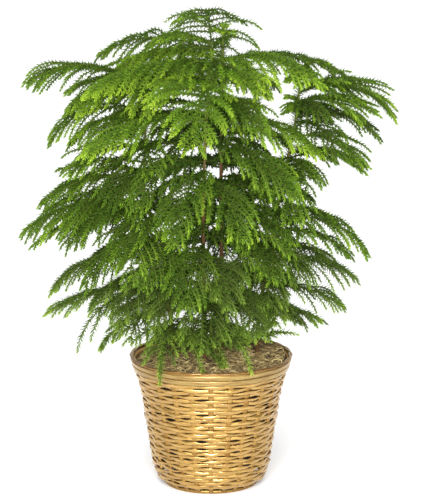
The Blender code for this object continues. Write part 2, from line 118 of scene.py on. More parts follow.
def piece_from(
    shape: Shape, name: str, finish: bpy.types.Material, smooth: bool = False
) -> bpy.types.Object:
    """Makes an object at the origin from a shape.

    Args:
        shape: What the object's mesh holds.
        name: The object's name.
        finish: Its material.
        smooth: Whether its faces are shaded smooth.

    Returns:
        The new object, linked to the scene.
    """
    count = len(shape.triangles)
    mesh = bpy.data.meshes.new(name)
    mesh.vertices.add(len(shape.corners))
    mesh.vertices.foreach_set("co", shape.corners.astype(np.float32).ravel())
    mesh.loops.add(count * 3)
    mesh.loops.foreach_set("vertex_index", shape.triangles.astype(np.int32).ravel())
    mesh.polygons.add(count)
    mesh.polygons.foreach_set("loop_start", np.arange(count, dtype=np.int32) * 3)
    mesh.polygons.foreach_set("use_smooth", np.full(count, smooth))
    layer = mesh.uv_layers.new(name=SURFACE_MAP)
    layer.uv.foreach_set("vector", shape.places[shape.triangles.ravel()].astype(np.float32).ravel())
    mesh.update(calc_edges=True)
    mesh.validate()
    mesh.materials.append(finish)
    piece = bpy.data.objects.new(name, mesh)
    bpy.context.scene.collection.objects.link(piece)
    return piece


def deselect_all() -> None:
    """Leaves nothing selected and nothing active."""
    for item in bpy.context.view_layer.objects:
        item.select_set(False)
    bpy.context.view_layer.objects.active = None


def shape_of(item: bpy.types.Object) -> Shape:
    """Reads an object's mesh.

    Args:
        item: The object.

    Returns:
        Its mesh as a shape, with every corner at the start of the surface map.
    """
    mesh = item.data
    mesh.calc_loop_triangles()
    corners = np.empty(len(mesh.vertices) * 3)
    mesh.vertices.foreach_get("co", corners)
    triangles = np.empty(len(mesh.loop_triangles) * 3, dtype=np.int64)
    mesh.loop_triangles.foreach_get("vertices", triangles)
    corners = corners.reshape(-1, 3)
    return Shape(corners, triangles.reshape(-1, 3), np.zeros((len(corners), 2)))


def modelled(item: bpy.types.Object) -> Shape:
    """Takes an object's shape for copying, and removes the object.

    Args:
        item: The object, as modelled.

    Returns:
        Its shape.
    """
    shape = shape_of(item)
    mesh = item.data
    bpy.data.objects.remove(item)
    bpy.data.meshes.remove(mesh)
    return shape


def in_edit_mode(*steps: Callable[[], object]) -> None:
    """Runs operators in edit mode on the whole of the active object.

    Args:
        steps: The operators' calls, in order.
    """
    bpy.ops.object.mode_set(mode="EDIT")
    bpy.ops.mesh.select_all(action="SELECT")
    for step in steps:
        step()
    bpy.ops.object.mode_set(mode="OBJECT")


def hand_over(piece: bpy.types.Object, slot: str, *nodes: str) -> None:
    """Puts a finished piece on the plant's body.

    Args:
        piece: The finished piece.
        slot: The record's material slot; not used.
        nodes: The CAD nodes that it stands for.
    """
    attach(piece, BODY)
    if nodes:
        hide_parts(*nodes)
    faces = len(piece.data.polygons)
    log.info("%s: %d faces, stands for %s", piece.name, faces, ", ".join(nodes) or "nothing in the frame")


def node_corners(name: str) -> np.ndarray:
    """The corners of a CAD node, one row each."""
    return shape_of(frame["nodes"][name]).corners


def smoothed(line: np.ndarray, rounds: int = 2) -> np.ndarray:
    """Rounds a line by cutting off each of its corners; its ends stay.

    Args:
        line: Its points.
        rounds: How many times the corners are cut off.

    Returns:
        The points of the rounded line.
    """
    for _ in range(rounds):
        near = line[:-1] * 0.75 + line[1:] * 0.25
        far = line[:-1] * 0.25 + line[1:] * 0.75
        middle = np.stack((near, far), axis=1).reshape(-1, line.shape[1])
        line = np.concatenate((line[:1], middle[1:-1], line[-1:]))
    return line


def evenly(line: np.ndarray, count: int) -> tuple[np.ndarray, float]:
    """Spaces a line's points evenly.

    Args:
        line: Its points.
        count: How many points it gets.

    Returns:
        The new points, and the line's length.
    """
    steps = np.linalg.norm(np.diff(line, axis=0), axis=1)
    reach = np.concatenate(((0.0,), np.cumsum(steps)))
    wanted = np.linspace(0.0, reach[-1], count)
    return np.stack([np.interp(wanted, reach, line[:, axis]) for axis in range(3)], axis=1), reach[-1]


def unit(vectors: np.ndarray) -> np.ndarray:
    """The vectors at length 1."""
    return vectors / np.linalg.norm(vectors, axis=-1, keepdims=True)


def loft(rings: np.ndarray, row: Pair, span: Pair = (0.0, 1.0), closed: bool = False) -> Shape:
    """Makes a solid through rings of corners.

    Args:
        rings: Rings by corners by x, y, z.
        row: The strip of v that goes round it.
        span: Where u starts and ends along it.
        closed: Whether the last ring joins the first.

    Returns:
        The closed shape.
    """
    if closed:
        rings = np.concatenate((rings, rings[:1]))
    count, sides = rings.shape[:2]
    corners = rings.reshape(-1, 3)
    first = np.arange(count - 1)[:, None] * sides + np.arange(sides)
    beside = np.arange(count - 1)[:, None] * sides + (np.arange(sides) + 1) % sides
    walls = np.stack((first, beside, beside + sides, first, beside + sides, first + sides), axis=-1)
    triangles = walls.reshape(-1, 3)
    if not closed:
        fan = np.arange(1, sides - 1)
        foot = np.stack((np.zeros_like(fan), fan + 1, fan), axis=1)
        top = np.stack((np.zeros_like(fan), fan, fan + 1), axis=1) + (count - 1) * sides
        triangles = np.concatenate((triangles, foot, top))
    a, b, c = (corners[triangles[:, k]] - corners[0] for k in range(3))
    volume = np.einsum("ij,ij->i", a, np.cross(b, c)).sum()
    if volume <= 0:  # the faces point inwards
        triangles = triangles[:, ::-1]
    u = np.repeat(np.linspace(*span, count), sides)
    v = np.tile(np.linspace(*row, sides), count)
    return Shape(corners, triangles, np.stack((u, v), axis=1))


def tube(
    line: np.ndarray, radii: np.ndarray, sides: int, row: Pair, span: Pair = (0.0, 1.0)
) -> Shape:
    """Makes a closed tube along a line.

    Args:
        line: The points of its middle.
        radii: Its radius at each point.
        sides: How many sides it has.
        row: The strip of v that goes round it.
        span: Where u starts and ends along it.

    Returns:
        The tube's shape.
    """
    along = unit(np.gradient(line, axis=0))
    helper = np.where(np.abs(along[:, 2:3]) > 0.9, np.array((1.0, 0.0, 0.0)), UP)
    across = unit(np.cross(along, helper))
    upward = np.cross(across, along)
    angles = np.linspace(0.0, math.tau, sides, endpoint=False)
    ring = across[:, None] * np.cos(angles)[:, None] + upward[:, None] * np.sin(angles)[:, None]
    return loft(line[:, None] + ring * radii[:, None, None], row, span)


# ---------------- finishes


class Nodes:
    """Short calls for a node tree."""

    def __init__(self, tree: bpy.types.NodeTree) -> None:
        """Works on a tree."""
        self.tree = tree

    def feed(self, node: bpy.types.Node, inputs: dict) -> bpy.types.Node:
        """Sets or links inputs of a node.

        Args:
            node: The node.
            inputs: A value or a socket for each input, by the input's name or number.

        Returns:
            The same node.
        """
        for key, value in inputs.items():
            if isinstance(value, Socket):
                self.tree.links.new(value, node.inputs[key])
            else:
                node.inputs[key].default_value = value
        return node

    def add(self, kind: str, inputs: dict | None = None, **settings: object) -> bpy.types.Node:
        """Adds a node.

        Args:
            kind: Its type.
            inputs: What feed takes.
            settings: Its properties.

        Returns:
            The new node.
        """
        node = self.tree.nodes.new(kind)
        for name, value in settings.items():
            setattr(node, name, value)
        return self.feed(node, inputs or {})

    def maths(self, operation: str, *values: object) -> Socket:
        """The result of a Math node."""
        node = self.add("ShaderNodeMath", dict(enumerate(values)), operation=operation)
        return node.outputs[0]

    def ramp(self, factor: Socket, *stops: tuple[float, tuple]) -> Socket:
        """Picks a colour between stops.

        Args:
            factor: What picks it.
            stops: The place and the colour of each stop.

        Returns:
            The colour.
        """
        node = self.add("ShaderNodeValToRGB", {0: factor})
        elements = node.color_ramp.elements
        while len(elements) < len(stops):
            elements.new(0.5)
        for element, (place, colour) in zip(elements, stops):
            element.position = place
            element.color = (*colour, 1.0)
        return node.outputs["Color"]

    def blend(self, factor: object, first: object, second: object, how: str = "MIX") -> Socket:
        """A mix of two colours."""
        inputs = {0: factor, 6: first, 7: second}
        return self.add("ShaderNodeMix", inputs, data_type="RGBA", blend_type=how).outputs[2]

    def noise(self, place: Socket, scale: object, detail: float) -> Socket:
        """A noise texture's value."""
        node = self.add("ShaderNodeTexNoise", {"Vector": place, "Scale": scale, "Detail": detail})
        return node.outputs["Fac"]

    def bump(self, height: Socket, strength: float, distance: float) -> Socket:
        """A normal that follows a height."""
        inputs = {"Strength": strength, "Distance": distance, "Height": height}
        return self.add("ShaderNodeBump", inputs).outputs[0]

    def surface_place(self) -> tuple[Socket, Socket]:
        """The two coordinates on the surface map."""
        place = self.add("ShaderNodeUVMap", uv_map=SURFACE_MAP).outputs[0]
        return tuple(self.add("ShaderNodeSeparateXYZ", {0: place}).outputs[:2])


def effect(name: str, outputs: list[str], inputs: list[tuple[str, str, object]]) -> tuple:
    """Starts a shader node group.

    Args:
        name: The group's name.
        outputs: Name of each output, all of them numbers.
        inputs: Name, socket type and default value of each input.

    Returns:
        The group, its node helper, its input node and its output node.
    """
    group = bpy.data.node_groups.new(name, "ShaderNodeTree")
    for label, kind, value in inputs:
        socket = group.interface.new_socket(label, in_out="INPUT", socket_type=kind)
        if value is not None:
            socket.default_value = value
    for label in outputs:
        group.interface.new_socket(label, in_out="OUTPUT", socket_type="NodeSocketFloat")
    nodes = Nodes(group)
    return group, nodes, nodes.add("NodeGroupInput"), nodes.add("NodeGroupOutput")


def fibre_effect(name: str) -> bpy.types.NodeTree:
    """Builds long fibres along a strand, with broad drifts of tone: for cane and bark.

    Args:
        name: The group's name.

    Returns:
        The node group.
    """
    group, nodes, given, result = effect(
        name,
        ["Fibre", "Drift"],
        [
            ("Place", "NodeSocketVector", None),
            ("Along", "NodeSocketFloat", 12.0),
            ("Across", "NodeSocketFloat", 60.0),
        ],
    )
    parts = nodes.add("ShaderNodeSeparateXYZ", {0: given.outputs["Place"]})
    long = nodes.maths("MULTIPLY", parts.outputs[0], given.outputs["Along"])
    wide = nodes.maths("MULTIPLY", parts.outputs[1], given.outputs["Across"])
    place = nodes.add("ShaderNodeCombineXYZ", {0: long, 1: wide, 2: parts.outputs[2]}).outputs[0]
    slow = nodes.add("ShaderNodeVectorMath", {0: place, 1: (0.35, 0.2, 1.0)}, operation="MULTIPLY")
    drift = nodes.noise(slow.outputs[0], 1.0, 1.0)
    nodes.feed(result, {"Fibre": nodes.noise(place, 1.0, 3.0), "Drift": drift})
    return group


def mottle_effect(name: str) -> bpy.types.NodeTree:
    """Builds uneven blotches with fine specks on Object coordinates: for moss, soil and plastic.

    Args:
        name: The group's name.

    Returns:
        The node group.
    """
    group, nodes, given, result = effect(
        name,
        ["Blotch", "Speck"],
        [("Size", "NodeSocketFloat", 60.0), ("Speck size", "NodeSocketFloat", 600.0)],
    )
    place = nodes.add("ShaderNodeTexCoord").outputs["Object"]
    speck = nodes.noise(place, given.outputs["Speck size"], 2.0)
    nodes.feed(result, {"Blotch": nodes.noise(place, given.outputs["Size"], 4.0), "Speck": speck})
    return group


class Finish:
    """A material that is built once."""

    name: str

    def material(self) -> bpy.types.Material:
        """Builds the finish's material the first time it is asked for.

        Returns:
            The material.
        """
        made = bpy.data.materials.get(self.name)
        if made is None:
            made = bpy.data.materials.new(self.name)
            made.use_nodes = True
            nodes = Nodes(made.node_tree)
            nodes.feed(made.node_tree.nodes["Principled BSDF"], self.paint(nodes))
        return made

    def paint(self, nodes: Nodes) -> dict:
        """Builds the finish's nodes.

        Args:
            nodes: Helper for the material's tree.

        Returns:
            A value or a socket for each of the shader's inputs that the finish sets.
        """
        raise NotImplementedError

    @staticmethod
    def fibres(nodes: Nodes, along: float, across: float) -> bpy.types.Node:
        """The fibre effect on the surface map."""
        place = nodes.add("ShaderNodeUVMap", uv_map=SURFACE_MAP).outputs[0]
        return Finish.placed(nodes, fibre_effect, {"Place": place, "Along": along, "Across": across})

    @staticmethod
    def mottle(nodes: Nodes, size: float, speck_size: float) -> bpy.types.Node:
        """The mottle effect at two sizes."""
        return Finish.placed(nodes, mottle_effect, {"Size": size, "Speck size": speck_size})

    @staticmethod
    def placed(nodes: Nodes, build: Callable[[str], bpy.types.NodeTree], inputs: dict) -> bpy.types.Node:
        """Places an effect's group, which is built the first time.

        Args:
            nodes: Helper for the material's tree.
            build: What builds the group.
            inputs: What the group's inputs get.

        Returns:
            The group's node.
        """
        name = build.__name__.replace("_", " ")
        group = bpy.data.node_groups.get(name) or build(name)
        return nodes.add("ShaderNodeGroup", inputs, node_tree=group)


@dataclass(frozen=True)
class GoldPaintedCane(Finish):
    """Split cane sprayed with gold paint that is thin in places."""

    name: str = "gold painted cane"
    gold: tuple = (0.358, 0.214, 0.046)
    pale: tuple = (0.51, 0.340, 0.098)  # where the paint is thick
    bare: tuple = (0.22, 0.088, 0.014)  # the cane, where none reached
    dull: tuple = (0.74, 0.66, 0.56)  # tint of stretches with less paint
    crevice: tuple = (0.76, 0.50, 0.26)  # painted shade: tint that darkens a strand's edges, where it meets its neighbours
    glint: tuple = (1.0, 0.78, 0.46)  # tint of its highlights
    metal: float = 0.65
    smoothest: float = 0.11  # least roughness
    coarseness: float = 0.35  # how much rougher it is along the fibres
    lacquer: float = 0.65

    def paint(self, nodes: Nodes) -> dict:
        """Lays the paint over the cane's fibres and paints shade along the strands' edges.

        Args:
            nodes: Helper for the material's tree.

        Returns:
            What the shader's inputs get.
        """
        fibres = self.fibres(nodes, 34.0, 36.0)
        fibre, drift = fibres.outputs["Fibre"], fibres.outputs["Drift"]
        colour = nodes.ramp(fibre, (0.28, self.bare), (0.45, self.gold), (0.72, self.pale))
        shade = nodes.ramp(drift, (0.3, self.dull), (0.65, WHITE))
        # Painted shade: a tint darkens each strip towards its edges, where strands meet.
        strip = nodes.maths("SUBTRACT", nodes.surface_place()[1], STRIP_START)
        inwards = nodes.maths("DIVIDE", nodes.maths("PINGPONG", strip, STRIP_HALF), STRIP_HALF)
        edge = nodes.ramp(inwards, (0.25, self.crevice), (0.50, WHITE))
        return {
            "Base Color": nodes.blend(1.0, nodes.blend(1.0, colour, shade, "MULTIPLY"), edge, "MULTIPLY"),
            "Roughness": nodes.maths("MULTIPLY_ADD", fibre, self.coarseness, self.smoothest),
            "Normal": nodes.bump(fibre, 0.35, 0.0003),
            "Metallic": self.metal,
            "Coat Weight": self.lacquer,
            "Coat Roughness": 0.10,
            "Coat IOR": 1.6,
            "Specular Tint": (*self.glint, 1.0),
        }


@dataclass(frozen=True)
class PotPlastic(Finish):
    """Black nursery pot plastic with a dusting of soil."""

    name: str = "pot plastic"
    black: tuple = (0.016, 0.010, 0.006)
    dusty: tuple = (0.055, 0.036, 0.020)

    def paint(self, nodes: Nodes) -> dict:
        """Lays dust over the plastic."""
        dust = self.mottle(nodes, 45.0, 500.0).outputs["Blotch"]
        return {
            "Base Color": nodes.ramp(dust, (0.45, self.black), (0.75, self.dusty)),
            "Roughness": nodes.maths("MULTIPLY_ADD", dust, 0.3, 0.3),
        }


@dataclass(frozen=True)
class Crumbs(Finish):
    """Matt crumbly stuff: specks between a dark and a light tone, on a bumpy surface."""

    name: str
    sizes: Pair  # scale of its lumps and of its specks
    stops: tuple[tuple[float, tuple], ...]  # place and colour of each tone of its specks
    bump: Pair  # strength and distance

    def paint(self, nodes: Nodes) -> dict:
        """Strews specks of each tone over the lumps."""
        lumps, specks = self.mottle(nodes, *self.sizes).outputs
        return {
            "Base Color": nodes.ramp(specks, *self.stops),
            "Normal": nodes.bump(lumps, *self.bump),
            "Roughness": 0.95,
        }


POTTING_MIX = Crumbs(  # peat, bark crumbs and grit
    "potting mix",
    (160.0, 420.0),
    ((0.4, (0.018, 0.011, 0.007)), (0.62, (0.09, 0.05, 0.028)), (0.72, (0.55, 0.52, 0.47))),
    (0.9, 0.003),
)
MOSS_MAT_PAINTED_SHADE = Crumbs(  # the matted under-layer of the dried moss, its dark tones partly painted shade under the fibres
    "moss mat with painted shade", (130.0, 520.0), ((0.38, (0.020, 0.011, 0.005)), (0.68, (0.13, 0.090, 0.034))), (1.0, 0.004)
)


@dataclass(frozen=True)
class MossFibre(Finish):
    """Dried moss strands; u picks a strand's tone, from brown to bleached."""

    name: str = "moss fibre"
    brown: tuple = (0.075, 0.042, 0.016)
    straw: tuple = (0.215, 0.150, 0.050)
    bleached: tuple = (0.62, 0.50, 0.23)

    def paint(self, nodes: Nodes) -> dict:
        """Gives each strand its tone."""
        stops = (0.0, self.brown), (0.5, self.straw), (1.0, self.bleached)
        return {"Base Color": nodes.ramp(nodes.surface_place()[0], *stops), "Roughness": 0.8}


@dataclass(frozen=True)
class PineBark(Finish):
    """Red-brown young bark; u runs up the stem, and its top is still green."""

    name: str = "pine bark"
    brown: tuple = (0.066, 0.028, 0.008)
    grey: tuple = (0.110, 0.058, 0.022)
    green: tuple = (0.09, 0.13, 0.02)

    def paint(self, nodes: Nodes) -> dict:
        """Runs fibres up the stem and turns its top green.

        Args:
            nodes: Helper for the material's tree.

        Returns:
            What the shader's inputs get.
        """
        fibre = self.fibres(nodes, 90.0, 9.0).outputs["Fibre"]
        bark = nodes.ramp(fibre, (0.35, self.brown), (0.7, self.grey))
        height = nodes.surface_place()[0]
        young = nodes.add("ShaderNodeMapRange", {0: height, 1: 0.62, 2: 0.95, 3: 0.0, 4: 0.85})
        return {
            "Base Color": nodes.blend(young.outputs[0], bark, (*self.green, 1.0)),
            "Normal": nodes.bump(fibre, 0.7, 0.0008),
            "Roughness": 0.75,
            "Specular IOR Level": 0.2,
        }


@dataclass(frozen=True)
class PineNeedles(Finish):
    """Needles and the twigs that carry them.

    On the surface map u runs from old, dark needles to the newest growth. v runs up a needle,
    and the strip above TWIG_ROW belongs to twigs.
    """

    name: str = "pine needles"
    old: tuple = (0.014, 0.030, 0.003)
    grown: tuple = (0.050, 0.112, 0.006)
    fresh: tuple = (0.140, 0.270, 0.012)
    newest: tuple = (0.350, 0.520, 0.034)
    twig: tuple = (0.10, 0.085, 0.02)
    painted_foot_shade_tip_light: Pair = (0.34, 1.36)  # painted shade at a needle's foot and painted light at its tip: how bright it is there

    def paint(self, nodes: Nodes) -> dict:
        """Colours needles by age, paints shade at their feet and light at their tips, and sets the twigs
        apart.

        Args:
            nodes: Helper for the material's tree.

        Returns:
            What the shader's inputs get.
        """
        age, height = nodes.surface_place()
        green = nodes.ramp(age, (0.0, self.old), (0.35, self.grown), (0.7, self.fresh), (1.0, self.newest))
        # Painted light and shade: each needle darkens towards its foot on the twig and brightens towards
        # its tip.
        foot, tip = self.painted_foot_shade_tip_light
        lift = nodes.add("ShaderNodeMapRange", {0: height, 1: 0.0, 2: NEEDLE_ROW, 3: foot, 4: tip})
        needle = nodes.blend(1.0, green, lift.outputs[0], "MULTIPLY")
        is_twig = nodes.maths("GREATER_THAN", height, (NEEDLE_ROW + TWIG_ROW) / 2)
        dimmed = nodes.blend(1.0, green, (0.6, 0.6, 0.6, 1.0), "MULTIPLY")
        twig = nodes.blend(0.3, dimmed, (*self.twig, 1.0))
        return {
            "Base Color": nodes.blend(is_twig, needle, twig),
            "Roughness": 0.7,
            "Specular IOR Level": 0.12,
        }


DULL_NEEDLES = PineNeedles(  # the thin, greyer needles of the lowest fronds
    name="dull pine needles",
    old=(0.022, 0.036, 0.006),
    grown=(0.056, 0.110, 0.010),
    fresh=(0.142, 0.250, 0.022),
    newest=(0.320, 0.470, 0.046),
    twig=(0.10, 0.085, 0.028),
)


@dataclass(frozen=True)
class StudioFloor(Finish):
    """Plain matt white."""

    name: str = "studio floor"
    white: tuple = (0.96, 0.96, 0.96)

    def paint(self, nodes: Nodes) -> dict:
        """The plain colour, with no nodes of its own."""
        return {"Base Color": (*self.white, 1.0), "Roughness": 0.9}


# ---------------- basket


@dataclass
class WovenBasket:
    """The gold basket: stakes, woven strands, rim bands and base."""

    stakes: int = 24
    stake_width: float = 0.0074  # at the rim
    stake_thickness: float = 0.0009
    # Sections, as shares of width and thickness, or of half the thickness and half the height.
    stake_profile: tuple[Pair, ...] = (
        (-0.5, -0.5), (0.5, -0.5), (0.5, -0.2), (0.22, 0.4), (-0.22, 0.4), (-0.5, -0.2),
    )
    stake_foot: tuple[Pair, ...] = ((-0.006, 0.0012), (0.0035, 0.0022))  # past the base's radius, height
    stake_taper: float = 0.22  # how much narrower it is at its foot
    taper_height: float = 0.08  # where it has its full width
    stake_shift: float = 0.0006  # how far stakes stand out of their places
    base_thickness: float = 0.0048
    base_overhang: float = 0.003  # how far it reaches past the stakes' feet
    base_rounding: float = 0.0018
    foot_height: float = 0.0025  # where the wall starts
    outset: float = 0.0012  # from the CAD courses' middle to the finished wall's
    swing: float = 0.0009  # how far a strand passes outside and inside the stakes
    squareness: float = 1.3  # how quickly it changes sides between two stakes
    strand_thickness: float = 0.0016
    strand_profile: tuple[Pair, ...] = (
        (-0.6, -1.0), (0.2, -1.0), (0.8, -0.62), (1.0, 0.0), (0.8, 0.62), (0.2, 1.0), (-0.6, 1.0),
    )
    steps_per_stake: int = 6  # rings of corners
    wander: float = 0.0007  # how far it strays up and down between stakes
    steadied: float = 0.3  # how much of that is left at a stake
    lean: float = 0.04  # its usual twist, in radians
    twist: float = 0.26
    slack_share: float = 0.17  # spans where it is pinched, so that a dark gap opens
    slack_pinch: Pair = (0.30, 0.60)
    tight_pinch: Pair = (0.0, 0.07)
    bulge: float = 0.10  # how much taller it is outside a stake
    height_range: Pair = (1.0, 1.10)  # as shares of the pitch
    thickness_range: Pair = (0.85, 1.15)
    straying: float = 0.0002  # how far a whole strand lies in or out
    band_steps: int = 144  # rings of corners
    band_strips: int = 2
    band_thickness: float = 0.0009  # half of a strip's
    band_profile: tuple[Pair, ...] = (
        (-1.0, 0.0), (0.6, 0.0), (1.0, 0.22), (1.0, 0.78), (0.6, 1.0), (-1.0, 1.0),
    )
    band_waves: tuple[int, ...] = (2, 3, 5)  # waves round a strip's edge
    band_ripple: float = 0.00022  # how high they are
    strip_margin: float = 0.04  # gap beside a strip, as a share of its height
    rim_overhang: float = 0.0022  # how far the outer band reaches down over the top course
    border_steps: int = 240  # rings of corners
    border_sides: int = 6
    border_size: Pair = (0.0017, 0.0014)  # half a border strand's width and height
    border_twist: Pair = (0.0014, 0.0003)  # how far it winds sideways and up
    border_lift: float = 0.0004  # how far the border lies above the CAD border's middle
    seed: int = 11
    cane: GoldPaintedCane = GoldPaintedCane()
    # Painted shade: a darker copy of the gold cane, so the flat stakes look as shaded as the rounded
    # strands.
    stake_cane_painted_shade: GoldPaintedCane = GoldPaintedCane(
        "gold stake with painted shade",
        gold=(0.31, 0.185, 0.046),
        pale=(0.43, 0.27, 0.080),
        lacquer=0.1,
        smoothest=0.20,
    )
    # Painted shade: a darker copy of the gold cane for the rim's bands and border, which catch the front
    # light.
    rim_cane_painted_shade: GoldPaintedCane = GoldPaintedCane(
        "gold rim with painted shade",
        gold=(0.265, 0.175, 0.046),
        pale=(0.37, 0.255, 0.080),
        lacquer=0.5,
        smoothest=0.16,
    )
    # Painted light: a paler, brighter copy of the gold cane for the inner band, which lies in shade.
    lining_cane_painted_light: GoldPaintedCane = GoldPaintedCane(
        "gold lining with painted light",
        gold=(0.62, 0.36, 0.10),
        pale=(0.78, 0.50, 0.17),
        metal=0.1,
        lacquer=0.0,
        smoothest=0.34,
    )
    courses: list[str] = field(init=False)
    base_radius: float = field(init=False)
    heights: np.ndarray = field(init=False)
    radii: np.ndarray = field(init=False)
    random: np.random.Generator = field(init=False)

    def __post_init__(self) -> None:
        """Reads the wall's radius from the frame's courses and bands."""
        self.courses = sorted(name for name in frame["nodes"] if name.startswith("weaver_"))
        base = node_corners("basket_frame")
        self.base_radius = np.hypot(*base[base[:, 2] < 0.0005, :2].T).max()
        heights, radii = [self.foot_height], [self.base_radius]
        for name in [*self.courses, "rim_outer_band"]:
            corners = node_corners(name)
            if name == "rim_outer_band":
                corners = np.concatenate((corners, node_corners("rim_inner_band")))
            for level in (corners[:, 2].min(), corners[:, 2].max()):
                ring = corners[np.abs(corners[:, 2] - level) < LEVEL]
                heights.append(level)
                radii.append(np.hypot(ring[:, 0], ring[:, 1]).mean())
        self.heights, self.radii = np.array(heights), np.array(radii)
        self.random = np.random.default_rng(self.seed)

    def radius(self, height: np.ndarray) -> np.ndarray:
        """Radius of the middle of the wall at a height."""
        return np.interp(height, self.heights, self.radii) + self.outset

    def build(self) -> None:
        """Builds every part of the basket."""
        stakes = join_shapes([self.stake(number) for number in range(self.stakes)] + [self.base()])
        self.dress(stakes, "cane_stakes", self.stake_cane_painted_shade, "basket_frame")
        for number, node in enumerate(self.courses):
            self.dress(self.course(number, node), f"cane_course_{number + 1:02d}", self.cane, node)
        outside = self.band("rim_outer_band", self.rim_overhang)
        self.dress(outside, "rim_wrap_outside", self.rim_cane_painted_shade, "rim_outer_band")
        self.dress(self.band("rim_inner_band", 0.0), "rim_wrap_inside", self.lining_cane_painted_light, "rim_inner_band")
        border = join_shapes([self.border_strand(number) for number in range(2)])
        self.dress(border, "rim_border_strands", self.rim_cane_painted_shade, "rim_border")

    @staticmethod
    def dress(shape: Shape, name: str, cane: GoldPaintedCane, node: str) -> None:
        """Makes a cane piece that stands for one CAD node."""
        hand_over(piece_from(shape, name, cane.material(), smooth=True), "cane", node)

    def base(self) -> Shape:
        """Models the round base board under the pot, with a softened edge.

        Returns:
            The board's shape.
        """
        deselect_all()
        bpy.ops.mesh.primitive_cylinder_add(
            vertices=96,
            radius=self.base_radius + self.base_overhang,
            depth=self.base_thickness,
            location=(0, 0, self.base_thickness / 2),
        )
        board = bpy.context.object
        rounded = board.modifiers.new("rounded edge", "BEVEL")
        rounded.width = self.base_rounding
        rounded.segments = 3
        bpy.ops.object.modifier_apply(modifier=rounded.name)
        bpy.ops.object.transform_apply(location=True, rotation=True, scale=True)
        shape = modelled(board)
        shape.places = shape.corners[:, :2] * 4.0 + 0.5
        return shape

    def stake(self, number: int) -> Shape:
        """Models a flat upright of split cane, from under the base to the rim.

        Args:
            number: Its number in the wall, from 0.

        Returns:
            Its shape.
        """
        angle = math.tau * number / self.stakes
        foot = np.array([(self.base_radius + past, height) for past, height in self.stake_foot])
        # Points lie closer together near the base, where the wall curves.
        heights = np.concatenate((np.linspace(0.006, 0.03, 5), np.linspace(0.045, 0.1725, 9)))
        outline = np.concatenate((foot, np.stack((self.radius(heights), heights), axis=1)))
        slope = unit(np.gradient(outline, axis=0))
        outward = np.stack((slope[:, 1], -slope[:, 0]), axis=1)
        shift = self.random.normal(0.0, self.stake_shift)
        cos, sin = math.cos(angle), math.sin(angle)
        rings = []
        for (r, z), (dr, dz) in zip(outline, outward):
            tapered = self.stake_taper * min(1.0, z / self.taper_height)
            width = self.stake_width * (1.0 - self.stake_taper + tapered)
            for side, depth in self.stake_profile:
                radial = r + dr * depth * self.stake_thickness
                across = side * width + shift
                height = z + dz * depth * self.stake_thickness
                rings.append((radial * cos - across * sin, radial * sin + across * cos, height))
        start, end = FACE_ROWS[number % 2]
        low = start + (end - start) * (number // 2) * 2 / self.stakes
        row = (low, low + (end - start) * 2 / self.stakes)
        return loft(np.array(rings).reshape(len(outline), -1, 3), row)

    @staticmethod
    def hoop(angle: np.ndarray, profile: list[tuple], row: Pair) -> Shape:
        """Makes a strand that goes all the way round.

        Args:
            angle: The angle of each of its rings of corners.
            profile: Radius and height of each corner of its section, one value for each ring.
            row: The strip of v that goes round it.

        Returns:
            Its shape.
        """
        lines = [np.stack((r * np.cos(angle), r * np.sin(angle), z), axis=1) for r, z in profile]
        return loft(np.stack(lines, axis=1), row, closed=True)

    def course(self, number: int, node: str) -> Shape:
        """Weaves a course: two strands, each outside one stake and inside the next by turns.

        Args:
            number: The course's number, from 0 at the base.
            node: The CAD course that it stands for.

        Returns:
            Its shape.
        """
        low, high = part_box(node)[0][2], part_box(node)[1][2]
        count = len(STRAND_ROWS)
        pitch = (high - low) / count
        strands = [
            self.strand(number * count + strand, low + pitch * (strand + 0.5), pitch, row)
            for strand, row in enumerate(STRAND_ROWS)
        ]
        return join_shapes(strands)

    def between_stakes(
        self, turn: np.ndarray, middle: float, spread: float, steadied: float
    ) -> np.ndarray:
        """Draws a value that changes at each stake and halfway to the next.

        Args:
            turn: Places round the basket, counted in stakes.
            middle: The value's mean.
            spread: How much it varies.
            steadied: How much of it is left at a stake.

        Returns:
            The value at each place.
        """
        knots = self.random.normal(middle, spread, self.stakes * 2)
        knots[::2] *= steadied
        return np.interp(turn * 2.0, np.arange(self.stakes * 2 + 1), np.concatenate((knots, knots[:1])))

    def strand(self, number: int, height: float, pitch: float, row: Pair) -> Shape:
        """Weaves one split-cane strand, uneven in height, thickness and twist.

        Args:
            number: Its number, from 0 at the base; every other one starts outside the first stake.
            height: Height of its middle.
            pitch: Height from one strand to the next.
            row: The strip of v that goes round it.

        Returns:
            Its shape.
        """
        turn = np.arange(self.stakes * self.steps_per_stake) / self.steps_per_stake
        angle = math.tau * turn / self.stakes
        side = 1.0 if number % 2 else -1.0
        wave = np.tanh(self.squareness * np.cos(math.pi * turn)) / math.tanh(self.squareness) * side
        middle = height + self.between_stakes(turn, 0.0, self.wander, self.steadied)
        slack = self.random.random(self.stakes) < self.slack_share
        slack_pinch = self.random.uniform(*self.slack_pinch, self.stakes)
        tight_pinch = self.random.uniform(*self.tight_pinch, self.stakes)
        squeeze = np.where(slack, slack_pinch, tight_pinch)[np.floor(turn).astype(int)]
        pinch = 1.0 - np.abs(np.sin(math.pi * turn)) * squeeze
        pinch += self.bulge * np.clip(wave, 0.0, 1.0) ** 2
        tall = pitch * 0.5 * pinch * self.random.uniform(*self.height_range)
        radial = self.radius(middle) + wave * self.swing + self.random.normal(0.0, self.straying)
        slope = (self.radius(middle + 0.002) - self.radius(middle - 0.002)) / 0.004
        thick = self.strand_thickness * 0.5 * self.random.uniform(*self.thickness_range)
        twist = self.between_stakes(turn, self.lean, self.twist, 1.0)
        profile = []
        for depth, rise in self.strand_profile:
            z = middle + rise * tall * np.cos(twist) + depth * thick * np.sin(twist)
            r = radial + depth * thick * np.cos(twist) + rise * tall * (slope - np.sin(twist))
            profile.append((r, z))
        return self.hoop(angle, profile, row)

